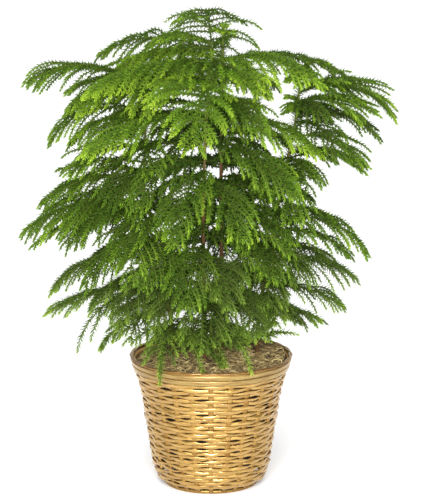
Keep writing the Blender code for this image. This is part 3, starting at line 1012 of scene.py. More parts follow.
    def band(self, node: str, overhang: float) -> Shape:
        """Makes a flat band of thin strips laid edge to edge.

        Args:
            node: The CAD band that it stands for.
            overhang: How far it reaches down over the top course.

        Returns:
            The band's shape.
        """
        corners = node_corners(node)
        low, high = corners[:, 2].min(), corners[:, 2].max()
        radius = np.hypot(corners[:, 0], corners[:, 1])
        flat = math.cos(math.pi / 72)
        middle_low = radius[np.abs(corners[:, 2] - low) < 0.0003].mean() * flat
        middle_high = radius[np.abs(corners[:, 2] - high) < 0.0003].mean() * flat
        angle = np.arange(self.band_steps) * math.tau / self.band_steps
        shapes = []
        for strip in range(self.band_strips):
            margins = (strip + self.strip_margin, strip + 1.0 - self.strip_margin)
            start, end = np.array(margins) / self.band_strips
            wave = 0
            for count in self.band_waves:
                swell = self.random.normal(0.0, self.band_ripple)
                wave = wave + swell * np.sin(count * angle + self.random.uniform(0, 6))
            profile = []
            for depth, rise in self.band_profile:
                at = start + (end - start) * rise
                z = low - overhang + (high - low + overhang) * at + wave
                r = middle_low + (middle_high - middle_low) * at + depth * self.band_thickness
                profile.append((r, z))
            shapes.append(self.hoop(angle, profile, FACE_ROWS[strip]))
        return join_shapes(shapes)

    def border_strand(self, number: int) -> Shape:
        """Makes one of the two round strands that twist along the top of the rim.

        Args:
            number: 0 for the first, 1 for the second.

        Returns:
            Its shape.
        """
        low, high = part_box("rim_border")
        angle = np.arange(self.border_steps) * math.tau / self.border_steps
        middle = (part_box("rim_outer_band")[1][0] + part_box("rim_inner_band")[1][0]) / 2
        twist = angle * self.stakes * 0.5 + math.pi * number
        radial = middle + self.border_twist[0] * np.cos(twist)
        height = (low[2] + high[2]) / 2 + self.border_lift + self.border_twist[1] * np.sin(twist)
        profile = []
        for corner in range(self.border_sides):
            around = math.tau * corner / self.border_sides
            out, up = self.border_size[0] * math.cos(around), self.border_size[1] * math.sin(around)
            profile.append((radial + out, height + up))
        return self.hoop(angle, profile, STRAND_ROWS[number])


# ---------------- pot, soil and moss


@dataclass
class Planting:
    """What stands in the basket: the grow pot, its soil and the dressing of dried moss."""

    pot_sides: int = 96
    wall: float = 0.0014
    mat_rings: int = 22  # rings of corners
    mat_sides: int = 72  # corners in a ring
    mat_thickness: float = 0.008
    mat_lumps: float = 0.0035  # height of its fine lumps
    heap: float = 0.007  # how much higher the moss lies at the right and the back
    fibres: int = 1700
    fibre_radius: float = 0.00045
    fibre_steps: int = 9  # points along one
    fibre_step: Pair = (0.0022, 0.0042)  # from point to point
    fibre_lift: Pair = (-0.0005, 0.0050)  # how high a strand's middle stands off the mat
    fibre_sunk: float = 0.0004  # how deep its ends lie in the mat
    curl: float = 0.55  # spread of its turn at each point, in radians
    kink: float = 0.35  # how much that changes along it
    tone: Pair = (0.5, 0.24)  # mean and spread of the strands' tones
    seed: int = 5
    mat_radius: float = field(init=False)
    mat_edge: float = field(init=False)  # its height where the CAD mat has no top
    cad_mat: BVHTree = field(init=False)

    def __post_init__(self) -> None:
        """Reads the mat's size and top from its CAD node."""
        coarse = shape_of(frame["nodes"]["moss_mulch"])
        self.cad_mat = BVHTree.FromPolygons(coarse.corners.tolist(), coarse.triangles.tolist())
        self.mat_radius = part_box("moss_mulch")[1][0] * 1.03
        self.mat_edge = coarse.corners[:, 2].max() - 0.009

    def build(self) -> None:
        """Builds pot, soil and moss."""
        self.build_pot()
        soil = frame["nodes"]["potting_soil"].data.materials
        soil.clear()
        soil.append(POTTING_MIX.material())
        self.build_mat()
        self.build_fibres()

    def pot_outline(self) -> list[Pair]:
        """Draws half a section of the pot, with its rolled lip.

        Returns:
            Radius and height of each corner, from the underside's middle out, up and back inside.
        """
        low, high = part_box("grow_pot")
        base, top = low[2], high[2]
        corners = node_corners("grow_pot")
        radius = np.hypot(corners[:, 0], corners[:, 1])
        foot = radius[corners[:, 2] < base + 0.0005].max()
        lip = radius.max()
        under_lip = corners[(radius > lip - 0.0005), 2].min()
        shoulder = radius[(np.abs(corners[:, 2] - under_lip) < 0.0004) & (radius < lip - 0.002)].max()
        return [
            (0.0, base),
            (foot - 0.003, base),
            (foot, base + 0.003),
            (shoulder - 0.0005, under_lip - 0.002),
            (shoulder + 0.002, under_lip),
            (lip - 0.002, under_lip),
            (lip - 0.0004, under_lip + 0.002),
            (lip - 0.0004, top - 0.001),
            (lip - 0.0012, top),
            (lip - 0.002, top - 0.001),
            (lip - self.wall - 0.001, under_lip + self.wall + 0.001),
            (shoulder - self.wall, under_lip + self.wall),
            (foot - self.wall - 0.002, base + self.wall + 0.002),
            (foot - 0.006, base + self.wall),
            (0.0, base + self.wall),
        ]

    def build_pot(self) -> None:
        """Spins the pot's outline into a thin shell."""
        outline = self.pot_outline()
        deselect_all()
        mesh = bpy.data.meshes.new("grow_pot_shell")
        edges = [(corner, corner + 1) for corner in range(len(outline) - 1)]
        mesh.from_pydata([(r, 0.0, z) for r, z in outline], edges, [])
        pot = bpy.data.objects.new("grow_pot_shell", mesh)
        bpy.context.scene.collection.objects.link(pot)
        bpy.context.view_layer.objects.active = pot
        pot.select_set(True)
        whole_turn = {"steps": self.pot_sides, "angle": math.tau, "center": (0, 0, 0), "axis": (0, 0, 1)}
        in_edit_mode(
            partial(bpy.ops.mesh.spin, **whole_turn),
            partial(bpy.ops.mesh.select_all, action="SELECT"),
            partial(bpy.ops.mesh.remove_doubles, threshold=0.00002),
            partial(bpy.ops.mesh.normals_make_consistent, inside=False),
        )
        bpy.ops.object.shade_smooth_by_angle(angle=math.radians(40))
        pot.data.materials.append(PotPlastic().material())
        hand_over(pot, "pot", "grow_pot")

    def surface(self, x: float, y: float) -> float:
        """Finds the top of the moss: the CAD mat's own top, with a heap and finer lumps.

        Args:
            x: Place to the right.
            y: Place to the back.

        Returns:
            The moss's height there.
        """
        place, _, _, _ = self.cad_mat.ray_cast(Vector((x, y, 1.0)), Vector((0, 0, -1)))
        top = place.z if place else self.mat_edge
        top += self.heap * max(0.0, min(1.0, (x + y) / self.mat_radius)) ** 2
        return top + noise.noise(Vector((x * 140, y * 140, 1.3))) * self.mat_lumps * 0.5

    def build_mat(self) -> None:
        """Models a fine lumpy disc over the whole of the CAD mat."""
        deselect_all()
        bpy.ops.mesh.primitive_circle_add(
            vertices=self.mat_sides, radius=self.mat_radius, fill_type="NOTHING"
        )
        mat = bpy.context.object
        mat.name = mat.data.name = "moss_mat"
        steps = []
        for left in range(self.mat_rings - 1, 0, -1):
            smaller = partial(bpy.ops.transform.resize, value=(left / (left + 1),) * 3)
            steps += [bpy.ops.mesh.extrude_edges_move, smaller]
        in_edit_mode(*steps, partial(bpy.ops.mesh.merge, type="CENTER"))
        for corner in mat.data.vertices:
            corner.co.z = self.surface(corner.co.x, corner.co.y)
        thick = mat.modifiers.new("mat thickness", "SOLIDIFY")
        thick.thickness = self.mat_thickness
        thick.offset = -1.0
        bpy.ops.object.modifier_apply(modifier=thick.name)
        in_edit_mode(partial(bpy.ops.mesh.normals_make_consistent, inside=False))
        bpy.ops.object.shade_smooth()
        mat.data.materials.append(MOSS_MAT_PAINTED_SHADE.material())
        hand_over(mat, "moss", "moss_mulch")

    def build_fibres(self) -> None:
        """Strews curly dried strands over the mat."""
        random = np.random.default_rng(self.seed)
        strands = []
        for _ in range(self.fibres):
            radius = self.mat_radius * math.sqrt(random.uniform(0.0, 1.0))
            angle = random.uniform(0.0, math.tau)
            place = np.array((radius * math.cos(angle), radius * math.sin(angle)))
            strands.append(self.fibre(random, place))
        half = len(strands) // 2
        for name, part in (("moss_fibres_front", strands[:half]), ("moss_fibres_back", strands[half:])):
            hand_over(piece_from(join_shapes(part), name, MossFibre().material()), "moss")

    def fibre(self, random: np.random.Generator, place: np.ndarray) -> Shape:
        """Lays one curly strand on the mat, and keeps it inside the basket's rim.

        Args:
            random: Source of its irregularities.
            place: Where it starts.

        Returns:
            Its shape.
        """
        heading = random.uniform(0.0, math.tau)
        curl = random.normal(0.0, self.curl)
        step = random.uniform(*self.fibre_step)
        lift = random.uniform(*self.fibre_lift)
        limit = self.mat_radius * 0.99
        points = []
        at = place.copy()
        for number in range(self.fibre_steps):
            reach = np.hypot(*at)
            if reach > limit:
                at *= limit / reach
            swell = math.sin(math.pi * number / (self.fibre_steps - 1))
            points.append((*at, self.surface(*at) + lift * swell - self.fibre_sunk))
            heading += curl + random.normal(0.0, self.kink)
            at = at + step * np.array((math.cos(heading), math.sin(heading)))
        tone = float(np.clip(random.normal(*self.tone), *ON_MAP))
        radii = np.full(self.fibre_steps, self.fibre_radius * random.uniform(0.7, 1.4))
        radii[[0, -1]] *= 0.5
        shape = tube(np.array(points), radii, 3, (0.1, 0.9))
        shape.places[:, 0] = np.clip(tone + (shape.places[:, 0] - 0.5) * 0.03, 0.0, 1.0)
        return shape


# ---------------- foliage


class GrowthAndPaintedLight(Enum):
    """How fresh a frond's needles are, with painted light and shade: the age at its foot and at its tips,
    from 0, the oldest, to 1.

    DEEP is dark growth, used as painted shade on fronds inside and behind the plant; SHADED and GREEN lie
    further out, and FRESH ends in new growth and, as painted light, brightens fronds at the front and top.
    """

    DEEP = (0.08, 0.46)
    SHADED = (0.12, 0.63)
    GREEN = (0.17, 0.74)
    FRESH = (0.30, 1.00)


class Habit(Enum):
    """How branchlets are held: how strongly they hang, and how far they open at the rib's foot and tip.

    FLAT ones hardly droop, ARCHED ones bend down at their ends, WEEPING ones hang, SWEEPING ones run
    out along the rib, and DOMED ones form the rounded crown. A TAIL has none near its tip.
    """

    FLAT = (0.3, 52.0, 36.0)
    ARCHED = (0.85, 48.0, 32.0)
    WEEPING = (1.2, 52.0, 34.0)
    SWEEPING = (0.55, 38.0, 22.0)
    DOMED = (1.05, 88.0, 70.0)
    TAIL = (0.8, 55.0, 45.0)


DEEP, SHADED, GREEN, FRESH = GrowthAndPaintedLight
FLAT, ARCHED, WEEPING, SWEEPING, DOMED, TAIL = Habit


@dataclass
class Shoot:
    """A straight shoot covered with needles, its tip at the origin, which fronds copy and bend."""

    reach: float  # length of the whole shoot, of which a copy takes what it needs from the tip
    pitch: float = 0.00114  # length of shoot for each needle
    core: float = 0.0010  # radius of the bare twig
    needle_length: float = 0.0060  # length of a full-grown needle
    needle_radius: float = 0.00092  # radius of its base
    open_angle: float = 58.0  # degrees between a grown needle and the twig
    bud_angle: float = 16.0  # degrees between the newest needle and the twig
    bud_size: float = 0.62  # size of the newest needle, as a share of a grown one
    bud_length: float = 0.014  # length of the tip on which needles are still growing
    new_length: float = 0.022  # length of the tip that has the newest colour
    new_share: float = 0.55  # how much of the change of age along the shoot lies in that tip
    twig_steps: int = 6  # rings of corners along a bent twig, less one
    seed: int = 1
    back: np.ndarray = field(init=False)  # distance of each needle's root from the tip
    corners: np.ndarray = field(init=False)  # each needle's corners
    faces: np.ndarray = field(init=False)  # a needle's triangles
    rise: np.ndarray = field(init=False)  # height on the needle of each of its corners, from 0 to 1
    sideways: np.ndarray = field(init=False)  # place across the needle of each of its corners
    shade: np.ndarray = field(init=False)  # how much younger or older than its place each needle looks

    def __post_init__(self) -> None:
        """Models one needle and sets copies of it in a spiral."""
        needle = self.needle()
        random = np.random.default_rng(self.seed)
        count = int(self.reach / self.pitch)
        self.back = (np.arange(count) + 0.6) * self.pitch
        grown = np.clip(self.back / self.bud_length, 0.0, 1.0)
        opening = self.bud_angle + (self.open_angle - self.bud_angle) * grown
        tilt = np.radians(opening + random.normal(0.0, 6.0, count))
        size = (self.bud_size + (1.0 - self.bud_size) * grown) * random.uniform(0.85, 1.12, count)
        turn = GOLDEN_ANGLE * np.arange(count) + random.normal(0.0, 0.15, count)
        out = np.stack((np.zeros(count), np.cos(turn), np.sin(turn)), axis=1)
        forward = np.array((1.0, 0.0, 0.0))
        axis = np.cos(tilt)[:, None] * forward + np.sin(tilt)[:, None] * out
        flat = np.cos(tilt)[:, None] * out - np.sin(tilt)[:, None] * forward
        side = np.cross(axis, flat)
        root = out * self.core * 0.6
        root[:, 0] = -self.back
        local = needle.corners[None] * np.stack((np.ones(count), np.ones(count), size), axis=1)[:, None]
        self.corners = (
            root[:, None]
            + flat[:, None] * local[..., 0:1]
            + side[:, None] * local[..., 1:2]
            + axis[:, None] * local[..., 2:3]
        )
        self.faces = needle.triangles
        self.rise = needle.corners[:, 2] / self.needle_length
        self.sideways = needle.corners[:, 0] / self.needle_radius
        self.shade = random.normal(0.0, 0.10, count)

    def needle(self) -> Shape:
        """Models one needle: a three-sided cone from its base at the origin up to its tip.

        Returns:
            Its shape.
        """
        deselect_all()
        bpy.ops.mesh.primitive_cone_add(
            vertices=3,
            radius1=self.needle_radius,
            radius2=0.0,
            depth=self.needle_length,
            location=(0.0, 0.0, self.needle_length / 2),
        )
        bpy.ops.object.transform_apply(location=True, rotation=True, scale=True)
        return modelled(bpy.context.object)

    def along(self, line: np.ndarray, ages: Pair, core_scale: float) -> Shape:
        """Bends a copy of the shoot along a line, its tip at the line's end.

        Args:
            line: Evenly spaced points from the shoot's base to its tip.
            ages: Age at the base and at the tip, which also carries painted light and shade.
            core_scale: How much thicker than the tip the twig is at its base.

        Returns:
            The bent shoot, its needles and its twig.
        """
        count = len(line)
        length = np.linalg.norm(np.diff(line, axis=0), axis=1).sum()
        kept = self.back < length
        corners = self.corners[kept]
        number = len(corners)
        aim = unit(np.gradient(line, axis=0))
        across = unit(np.cross(aim, UP) + np.array((1e-6, 0.0, 0.0)))
        above = np.cross(across, aim)
        spot = (corners[..., 0] + length) / length * (count - 1)
        whole = np.clip(np.floor(spot).astype(int), 0, count - 2)
        part = (spot - whole)[..., None]

        def between(values: np.ndarray) -> np.ndarray:
            """The values of the line's points, taken at each corner's place along it."""
            return values[whole] + (values[whole + 1] - values[whole]) * part

        placed = between(line) + between(across) * corners[..., 1:2] + between(above) * corners[..., 2:3]
        share = 1.0 - self.back[kept] / length
        newest = np.clip(1.0 - self.back[kept] / self.new_length, 0.0, 1.0)
        risen = (1.0 - self.new_share) * share + self.new_share * newest
        age = ages[0] + (ages[1] - ages[0]) * risen + self.shade[kept]
        u = np.clip(age[:, None] + self.sideways * 0.01, 0.01, 0.99)
        v = 0.02 + np.broadcast_to(self.rise, (number, len(self.rise))) * (NEEDLE_ROW - 0.04)
        v = v + np.abs(self.sideways) * 0.015
        needles = Shape(
            placed.reshape(-1, 3),
            (np.arange(number)[:, None, None] * len(self.rise) + self.faces).reshape(-1, 3),
            np.stack((u, v), axis=-1).reshape(-1, 2),
        )
        coarse = line[:: max(1, (count - 1) // self.twig_steps)]
        radii = self.core * np.linspace(core_scale, 1.0, len(coarse))
        twig = tube(coarse, radii, 3, (TWIG_ROW, 0.99), tuple(np.clip(np.array(ages), *ON_MAP)))
        return join_shapes([needles, twig])


def shoot_model(**sizes: float) -> Shoot:
    """A field whose shoot is modelled when its owner is made."""
    return field(default_factory=partial(Shoot, **sizes))


@dataclass(frozen=True)
class ShootModels:
    """The shoots that fronds copy: compact ones higher up, feathery ones near the basket."""

    compact: Shoot = shoot_model(reach=0.14, seed=3)
    compact_rib: Shoot = shoot_model(reach=0.24, pitch=0.00140, seed=4)
    feathery: Shoot = shoot_model(
        reach=0.14, pitch=0.00104, needle_length=0.0080, needle_radius=0.00066, open_angle=52.0, seed=5
    )
    feathery_rib: Shoot = shoot_model(
        reach=0.24, pitch=0.00110, needle_length=0.0084, needle_radius=0.00090, open_angle=52.0, seed=6
    )
    leader: Shoot = shoot_model(
        reach=0.16,
        pitch=0.00062,
        core=0.0016,
        needle_length=0.0125,
        needle_radius=0.00062,
        open_angle=68.0,
        seed=7,
    )
    feathery_below: float = 0.325

    def at(self, height: float) -> tuple[Shoot, Shoot]:
        """The branchlet and rib models for a frond that leaves its stem at a height."""
        low = height < self.feathery_below
        return (self.feathery, self.feathery_rib) if low else (self.compact, self.compact_rib)


@dataclass
class Frond:
    """One frond: an arching rib with paired branchlets that droop at their ends."""

    models: ShootModels  # the shoots that it copies
    rib: np.ndarray  # evenly spaced points from the stem to the tip
    spread: float  # length of the longest branchlet
    growth: GrowthAndPaintedLight  # how fresh it is, with painted light and shade
    habit: Habit  # how its branchlets hang
    seed: int
    spacing: float = 0.0116  # length of rib for each pair of branchlets
    bare: float = 0.06  # share of the rib that has none, at its foot
    fewest: int = 4  # least number of pairs
    tail_share: float = 0.62  # share of the pairs that a tail keeps
    roll_spread: float = 9.0  # how much fronds roll about their ribs, in degrees
    dome_roll: float = 0.15  # how much of that the crown's fronds do
    tone_spread: float = 0.14  # how much branchlets differ in age
    rib_swell: float = 1.4  # how much thicker the rib is at its foot than at its tip
    branchlet_swell: float = 1.1  # the same for a branchlet
    length_range: Pair = (0.86, 1.12)  # least and greatest length of a branchlet for its place
    hang_range: Pair = (0.85, 1.2)  # the same for how strongly a frond hangs
    opening_spread: float = 4.5  # how much branchlets differ in direction, in degrees
    closing: float = 18.0  # degrees by which a branchlet turns towards the rib's tip along its length
    branchlet_steps: int = 6  # points along a branchlet, less one
    roll: float = field(init=False, default=0.0)  # its own roll, in radians
    hang: float = field(init=False, default=0.0)  # how strongly its branchlets hang

    def shape(self) -> Shape:
        """Sets bent shoots along the rib.

        Returns:
            The whole frond.
        """
        shoot, rib_shoot = self.models.at(self.rib[0, 2])
        random = np.random.default_rng(self.seed)
        length = np.linalg.norm(np.diff(self.rib, axis=0), axis=1).sum()
        aim = unit(np.gradient(self.rib, axis=0))
        first, last = self.growth.value
        parts = [rib_shoot.along(self.rib, (first, last), self.rib_swell)]
        steady = self.dome_roll if self.habit is DOMED else 1.0
        self.roll = math.radians(random.normal(0.0, self.roll_spread)) * steady
        self.hang = self.habit.value[0] * random.uniform(*self.hang_range)
        clad = 1.0 - self.bare
        pairs = max(self.fewest, int(length * clad / self.spacing))
        kept = self.tail_share if self.habit is TAIL else 1.0
        for pair in range(int(pairs * kept)):
            for hand in (-1.0, 1.0):
                share = self.bare + clad * (pair + 0.5 + random.uniform(-0.25, 0.25)) / (pairs + 0.4)
                reach = self.spread * self.envelope(share) * random.uniform(*self.length_range)
                start, forward = self.between(self.rib, share), unit(self.between(aim, share))
                line = self.branchlet(random, start, forward, hand, reach, share)
                fresh = last - 0.10 * (1 - share) + random.normal(0.0, self.tone_spread)
                parts.append(shoot.along(line, (first + 0.06 * share, fresh), self.branchlet_swell))
        return join_shapes(parts)

    @staticmethod
    def between(values: np.ndarray, share: float) -> np.ndarray:
        """Finds a value at a share of the rib.

        Args:
            values: Its value at each of the rib's points.
            share: The place along the rib, from 0 to 1.

        Returns:
            The value there.
        """
        spot = share * (len(values) - 1)
        whole = min(int(spot), len(values) - 2)
        part = spot - whole
        return values[whole] * (1 - part) + values[whole + 1] * part

    @staticmethod
    def envelope(share: float) -> float:
        """Says how long branchlets are at a place along the rib.

        Args:
            share: The place, from 0 to 1.

        Returns:
            Their length, as a share of the longest's.
        """
        rising = 0.50 + 0.50 * min(1.0, max(0.0, share - 0.05) / 0.25)
        falling = 1.0 - 0.78 * max(0.0, share - 0.42) / 0.58
        return rising * falling

    def branchlet(
        self,
        random: np.random.Generator,
        start: np.ndarray,
        forward: np.ndarray,
        hand: float,
        reach: float,
        share: float,
    ) -> np.ndarray:
        """Draws the line of one branchlet.

        Args:
            random: Source of its irregularities.
            start: Where it leaves the rib.
            forward: The rib's direction there.
            hand: 1 for the left of the rib, -1 for the right.
            reach: Its length.
            share: Its place along the rib.

        Returns:
            Evenly spaced points along it.
        """
        level = unit(np.cross(UP, forward))
        above = np.cross(forward, level)
        side = (level * math.cos(self.roll) + above * math.sin(self.roll)) * hand
        _, open_near, open_far = self.habit.value
        opening = open_near + (open_far - open_near) * share
        lean = math.radians(opening + random.normal(0.0, self.opening_spread))
        hang = self.hang * (1.15 - 0.35 * share) * random.uniform(0.7, 1.25) * min(1.0, reach / 0.05)
        lift = random.normal(0.22 - 0.12 * self.hang, 0.09)
        points = [start]
        for step in range(self.branchlet_steps):
            along = (step + 0.5) / self.branchlet_steps
            turned = lean - math.radians(self.closing) * along
            flat = forward * math.cos(turned) + side * math.sin(turned)
            fall = lift - (0.20 + 1.30 * hang) * along**1.8
            points.append(points[-1] + unit(flat + UP * fall) * reach / self.branchlet_steps)
        return np.array(points)


@dataclass(frozen=True)
class Whorl:
    """Lesser fronds that leave a stem at one height and have no CAD node of their own."""

    height: float  # where they leave the stem
    headings: tuple[float, ...]  # degrees from +X of each, anticlockwise
    length: float  # length of a rib
    rise: float  # degrees that a rib points up at the stem
    fall: float  # degrees that it points up at its tip
    spread: float  # length of its longest branchlets
    growth: GrowthAndPaintedLight = SHADED  # how fresh they are, with painted light and shade
    habit: Habit = ARCHED  # how their branchlets hang


@dataclass
class Seedling:
    """One of the four young trees: its stem, its modelled fronds and its lesser ones."""

    letter: str  # the letter in its nodes' names
    models: ShootModels  # the shoots that its fronds copy
    # How fresh some of its CAD fronds are, by number, which also paints light and shade on them; the
    # others are GREEN.
    growths: dict[GrowthAndPaintedLight, tuple[int, ...]] = field(default_factory=dict)
    # How the branchlets of some of them hang; the others are ARCHED.
    habits: dict[Habit, tuple[int, ...]] = field(default_factory=dict)
    # How much longer than the CAD frond's the branchlets of some are.
    breadths: dict[int, float] = field(default_factory=dict)
    # How far the foot and the tip of some lie below the CAD frond's.
    lowered: dict[int, Pair] = field(default_factory=dict)
    drawn_in: dict[int, float] = field(default_factory=dict)  # how much of the CAD frond's reach some keep
    lesser: tuple[Whorl, ...] = ()  # fronds that only the dressed plant has
    leader_length: float = 0.13  # length of the stem's end that carries long needles
    sag: float = 0.012  # how far the tips of its other CAD fronds sink below the CAD frond's
    stem_points: int = 60  # points along the dressed stem
    leader_points: int = 13  # points along its needled end
    leader_ages: Pair = (0.22, 0.72)  # age of the leader's foot and tip
    turn_spread: float = 5.0  # how far lesser fronds point from their headings, in degrees
    sweep_spread: float = 16.0  # how far they bend sideways, in degrees
    lesser_range: Pair = (0.82, 1.06)  # their least and greatest length, as shares of the whorl's
    lesser_steps: int = 20  # points along a lesser rib as it is drawn, less one
    samples: int = 200  # points along a CAD frond's rib while it is measured
    needle_room: float = 0.010  # how far short of a CAD frond's tip its rib ends
    lateral_share: float = 0.62  # how far a CAD frond's side reaches, as a share of its longest branchlet
    middle: np.ndarray = field(init=False)  # points along the middle of the CAD stem
    girth: np.ndarray = field(init=False)  # the CAD stem's radius there

    def __post_init__(self) -> None:
        """Reads the middle and the girth of the stem from its CAD node."""
        corners = node_corners(f"trunk_{self.letter}")
        levels = np.unique(np.round(corners[:, 2], 4))
        rings = [corners[np.abs(corners[:, 2] - level) < LEVEL] for level in levels]
        self.middle = np.array([ring.mean(axis=0) for ring in rings])
        self.girth = np.array([np.linalg.norm(r - m, axis=1).mean() for r, m in zip(rings, self.middle)])

    def stem_at(self, height: float) -> np.ndarray:
        """The middle of the stem at a height."""
        x, y = (np.interp(height, self.middle[:, 2], self.middle[:, axis]) for axis in (0, 1))
        return np.array((x, y, height))

    def cad_rib(self, node: str) -> tuple[np.ndarray, float]:
        """Follows the rib of a CAD frond, and measures how wide the frond spreads.

        Args:
            node: The frond's node.

        Returns:
            Evenly spaced points of the rib, and the length of its longest branchlet.
        """
        corners = np.unique(np.round(node_corners(node), 5), axis=0)
        stem = np.array([self.stem_at(z) for z in corners[:, 2]])
        nearest = np.argsort(np.linalg.norm(corners - stem, axis=1))[:4]
        root = corners[nearest]
        foot = root.mean(axis=0)
        across = root[:, :2] - foot[:2]
        side = across[np.argmax(np.linalg.norm(across, axis=1))]
        side = side / np.linalg.norm(side)
        out = np.array((side[1], -side[0]))
        if (foot[:2] - self.stem_at(foot[2])[:2]) @ out < 0:
            out = -out
        lateral = np.abs((corners[:, :2] - foot[:2]) @ side)
        reach = (corners[:, :2] - foot[:2]) @ out
        half = lateral[nearest].max() + 0.0002
        on_rib = corners[lateral < half]
        order = np.argsort(reach[lateral < half])
        on_rib, distance = on_rib[order], reach[lateral < half][order]
        splits = np.flatnonzero(np.diff(distance) > 0.0006) + 1
        stations = [group.mean(axis=0) for group in np.split(on_rib, splits)]
        line, length = evenly(smoothed(np.array(stations)), self.samples)
        kept = int(self.samples * (1.0 - self.needle_room / length))
        return evenly(line[:kept], RIB_POINTS)[0], lateral.max() / self.lateral_share

    def lesser_rib(self, whorl: Whorl, heading: float, random: np.random.Generator) -> np.ndarray:
        """Draws the rib of one frond of a whorl, a little different from the others'.

        Args:
            whorl: The whorl.
            heading: Degrees from +X of this frond.
            random: Source of its irregularities.

        Returns:
            Evenly spaced points of the rib.
        """
        turn = math.radians(heading + random.normal(0.0, self.turn_spread))
        sweep = math.radians(random.normal(0.0, self.sweep_spread))
        length = whorl.length * random.uniform(*self.lesser_range)
        points = [self.stem_at(whorl.height + random.normal(0.0, 0.004))]
        for step in range(self.lesser_steps):
            share = (step + 0.5) / self.lesser_steps
            out = np.array((math.cos(turn + sweep * share), math.sin(turn + sweep * share), 0.0))
            angle = math.radians(whorl.rise + (whorl.fall - whorl.rise) * share**1.25)
            ahead = out * math.cos(angle) + UP * math.sin(angle)
            points.append(points[-1] + ahead * length / self.lesser_steps)
        return evenly(np.array(points), RIB_POINTS)[0]

    @staticmethod
    def named(options: dict[Enum, tuple[int, ...]], number: int, usual: Enum) -> Enum:
        """The option that names a CAD frond's number, or else the usual one."""
        return next((option for option, numbers in options.items() if number in numbers), usual)

    def dress(self, fronds: list[Frond], name: str, *nodes: str) -> None:
        """Makes one piece of fronds that leave the stem together; the lowest have duller needles.

        Args:
            fronds: The fronds.
            name: The piece's name.
            nodes: The CAD frond that it stands for, if any.
        """
        low = fronds[-1].rib[0, 2] < self.models.feathery_below
        finish = (DULL_NEEDLES if low else PineNeedles()).material()
        shape = join_shapes([frond.shape() for frond in fronds])
        hand_over(piece_from(shape, name, finish), "foliage", *nodes)

    def build(self) -> None:
        """Builds the stem and every frond."""
        self.build_stem()
        nodes = sorted(name for name in frame["nodes"] if re.fullmatch(rf"frond_{self.letter}_\d+", name))
        for number, node in enumerate(nodes, 1):
            rib, spread = self.cad_rib(node)
            foot_drop, tip_drop = self.lowered.get(number, (0.0, self.sag))
            rib = rib[0] + (rib - rib[0]) * self.drawn_in.get(number, 1.0)
            rib[:, 2] -= foot_drop + (tip_drop - foot_drop) * np.linspace(0.0, 1.0, RIB_POINTS) ** 1.6
            growth = self.named(self.growths, number, GREEN)
            habit = self.named(self.habits, number, ARCHED)
            seed = ord(self.letter) * 100 + number
            spread *= self.breadths.get(number, 1.0)
            frond = Frond(self.models, rib, spread, growth, habit, seed)
            self.dress([frond], f"needled_{node}", node)
        for number, whorl in enumerate(self.lesser, 1):
            self.build_whorl(number, whorl)

    def build_whorl(self, number: int, whorl: Whorl) -> None:
        """Builds the fronds of one whorl as one piece.

        Args:
            number: The whorl's number on this tree.
            whorl: What it holds.
        """
        random = np.random.default_rng(ord(self.letter) * 1000 + number)
        fronds = []
        for heading in whorl.headings:
            rib = self.lesser_rib(whorl, heading, random)
            seed = int(random.integers(1_000_000))
            fronds.append(Frond(self.models, rib, whorl.spread, whorl.growth, whorl.habit, seed))
        self.dress(fronds, f"whorl_{self.letter}_{number:02d}")

    def build_stem(self) -> None:
        """Builds the bark-covered stem, and the long needles on its top."""
        line, length = evenly(smoothed(self.middle), self.stem_points)
        radii = np.interp(line[:, 2], self.middle[:, 2], self.girth)
        random = np.random.default_rng(ord(self.letter))
        radii = radii * (1.0 + random.normal(0.0, 0.05, len(radii)))
        stem = tube(line, radii, 10, (0.0, 1.0))
        piece = piece_from(stem, f"stem_{self.letter}", PineBark().material(), smooth=True)
        hand_over(piece, "bark", f"trunk_{self.letter}")
        kept = int(self.stem_points * self.leader_length / length)
        needled, _ = evenly(line[-kept:], self.leader_points)
        end = self.models.leader.along(needled, self.leader_ages, core_scale=1.2)
        hand_over(piece_from(end, f"leader_{self.letter}", PineNeedles().material()), "foliage")


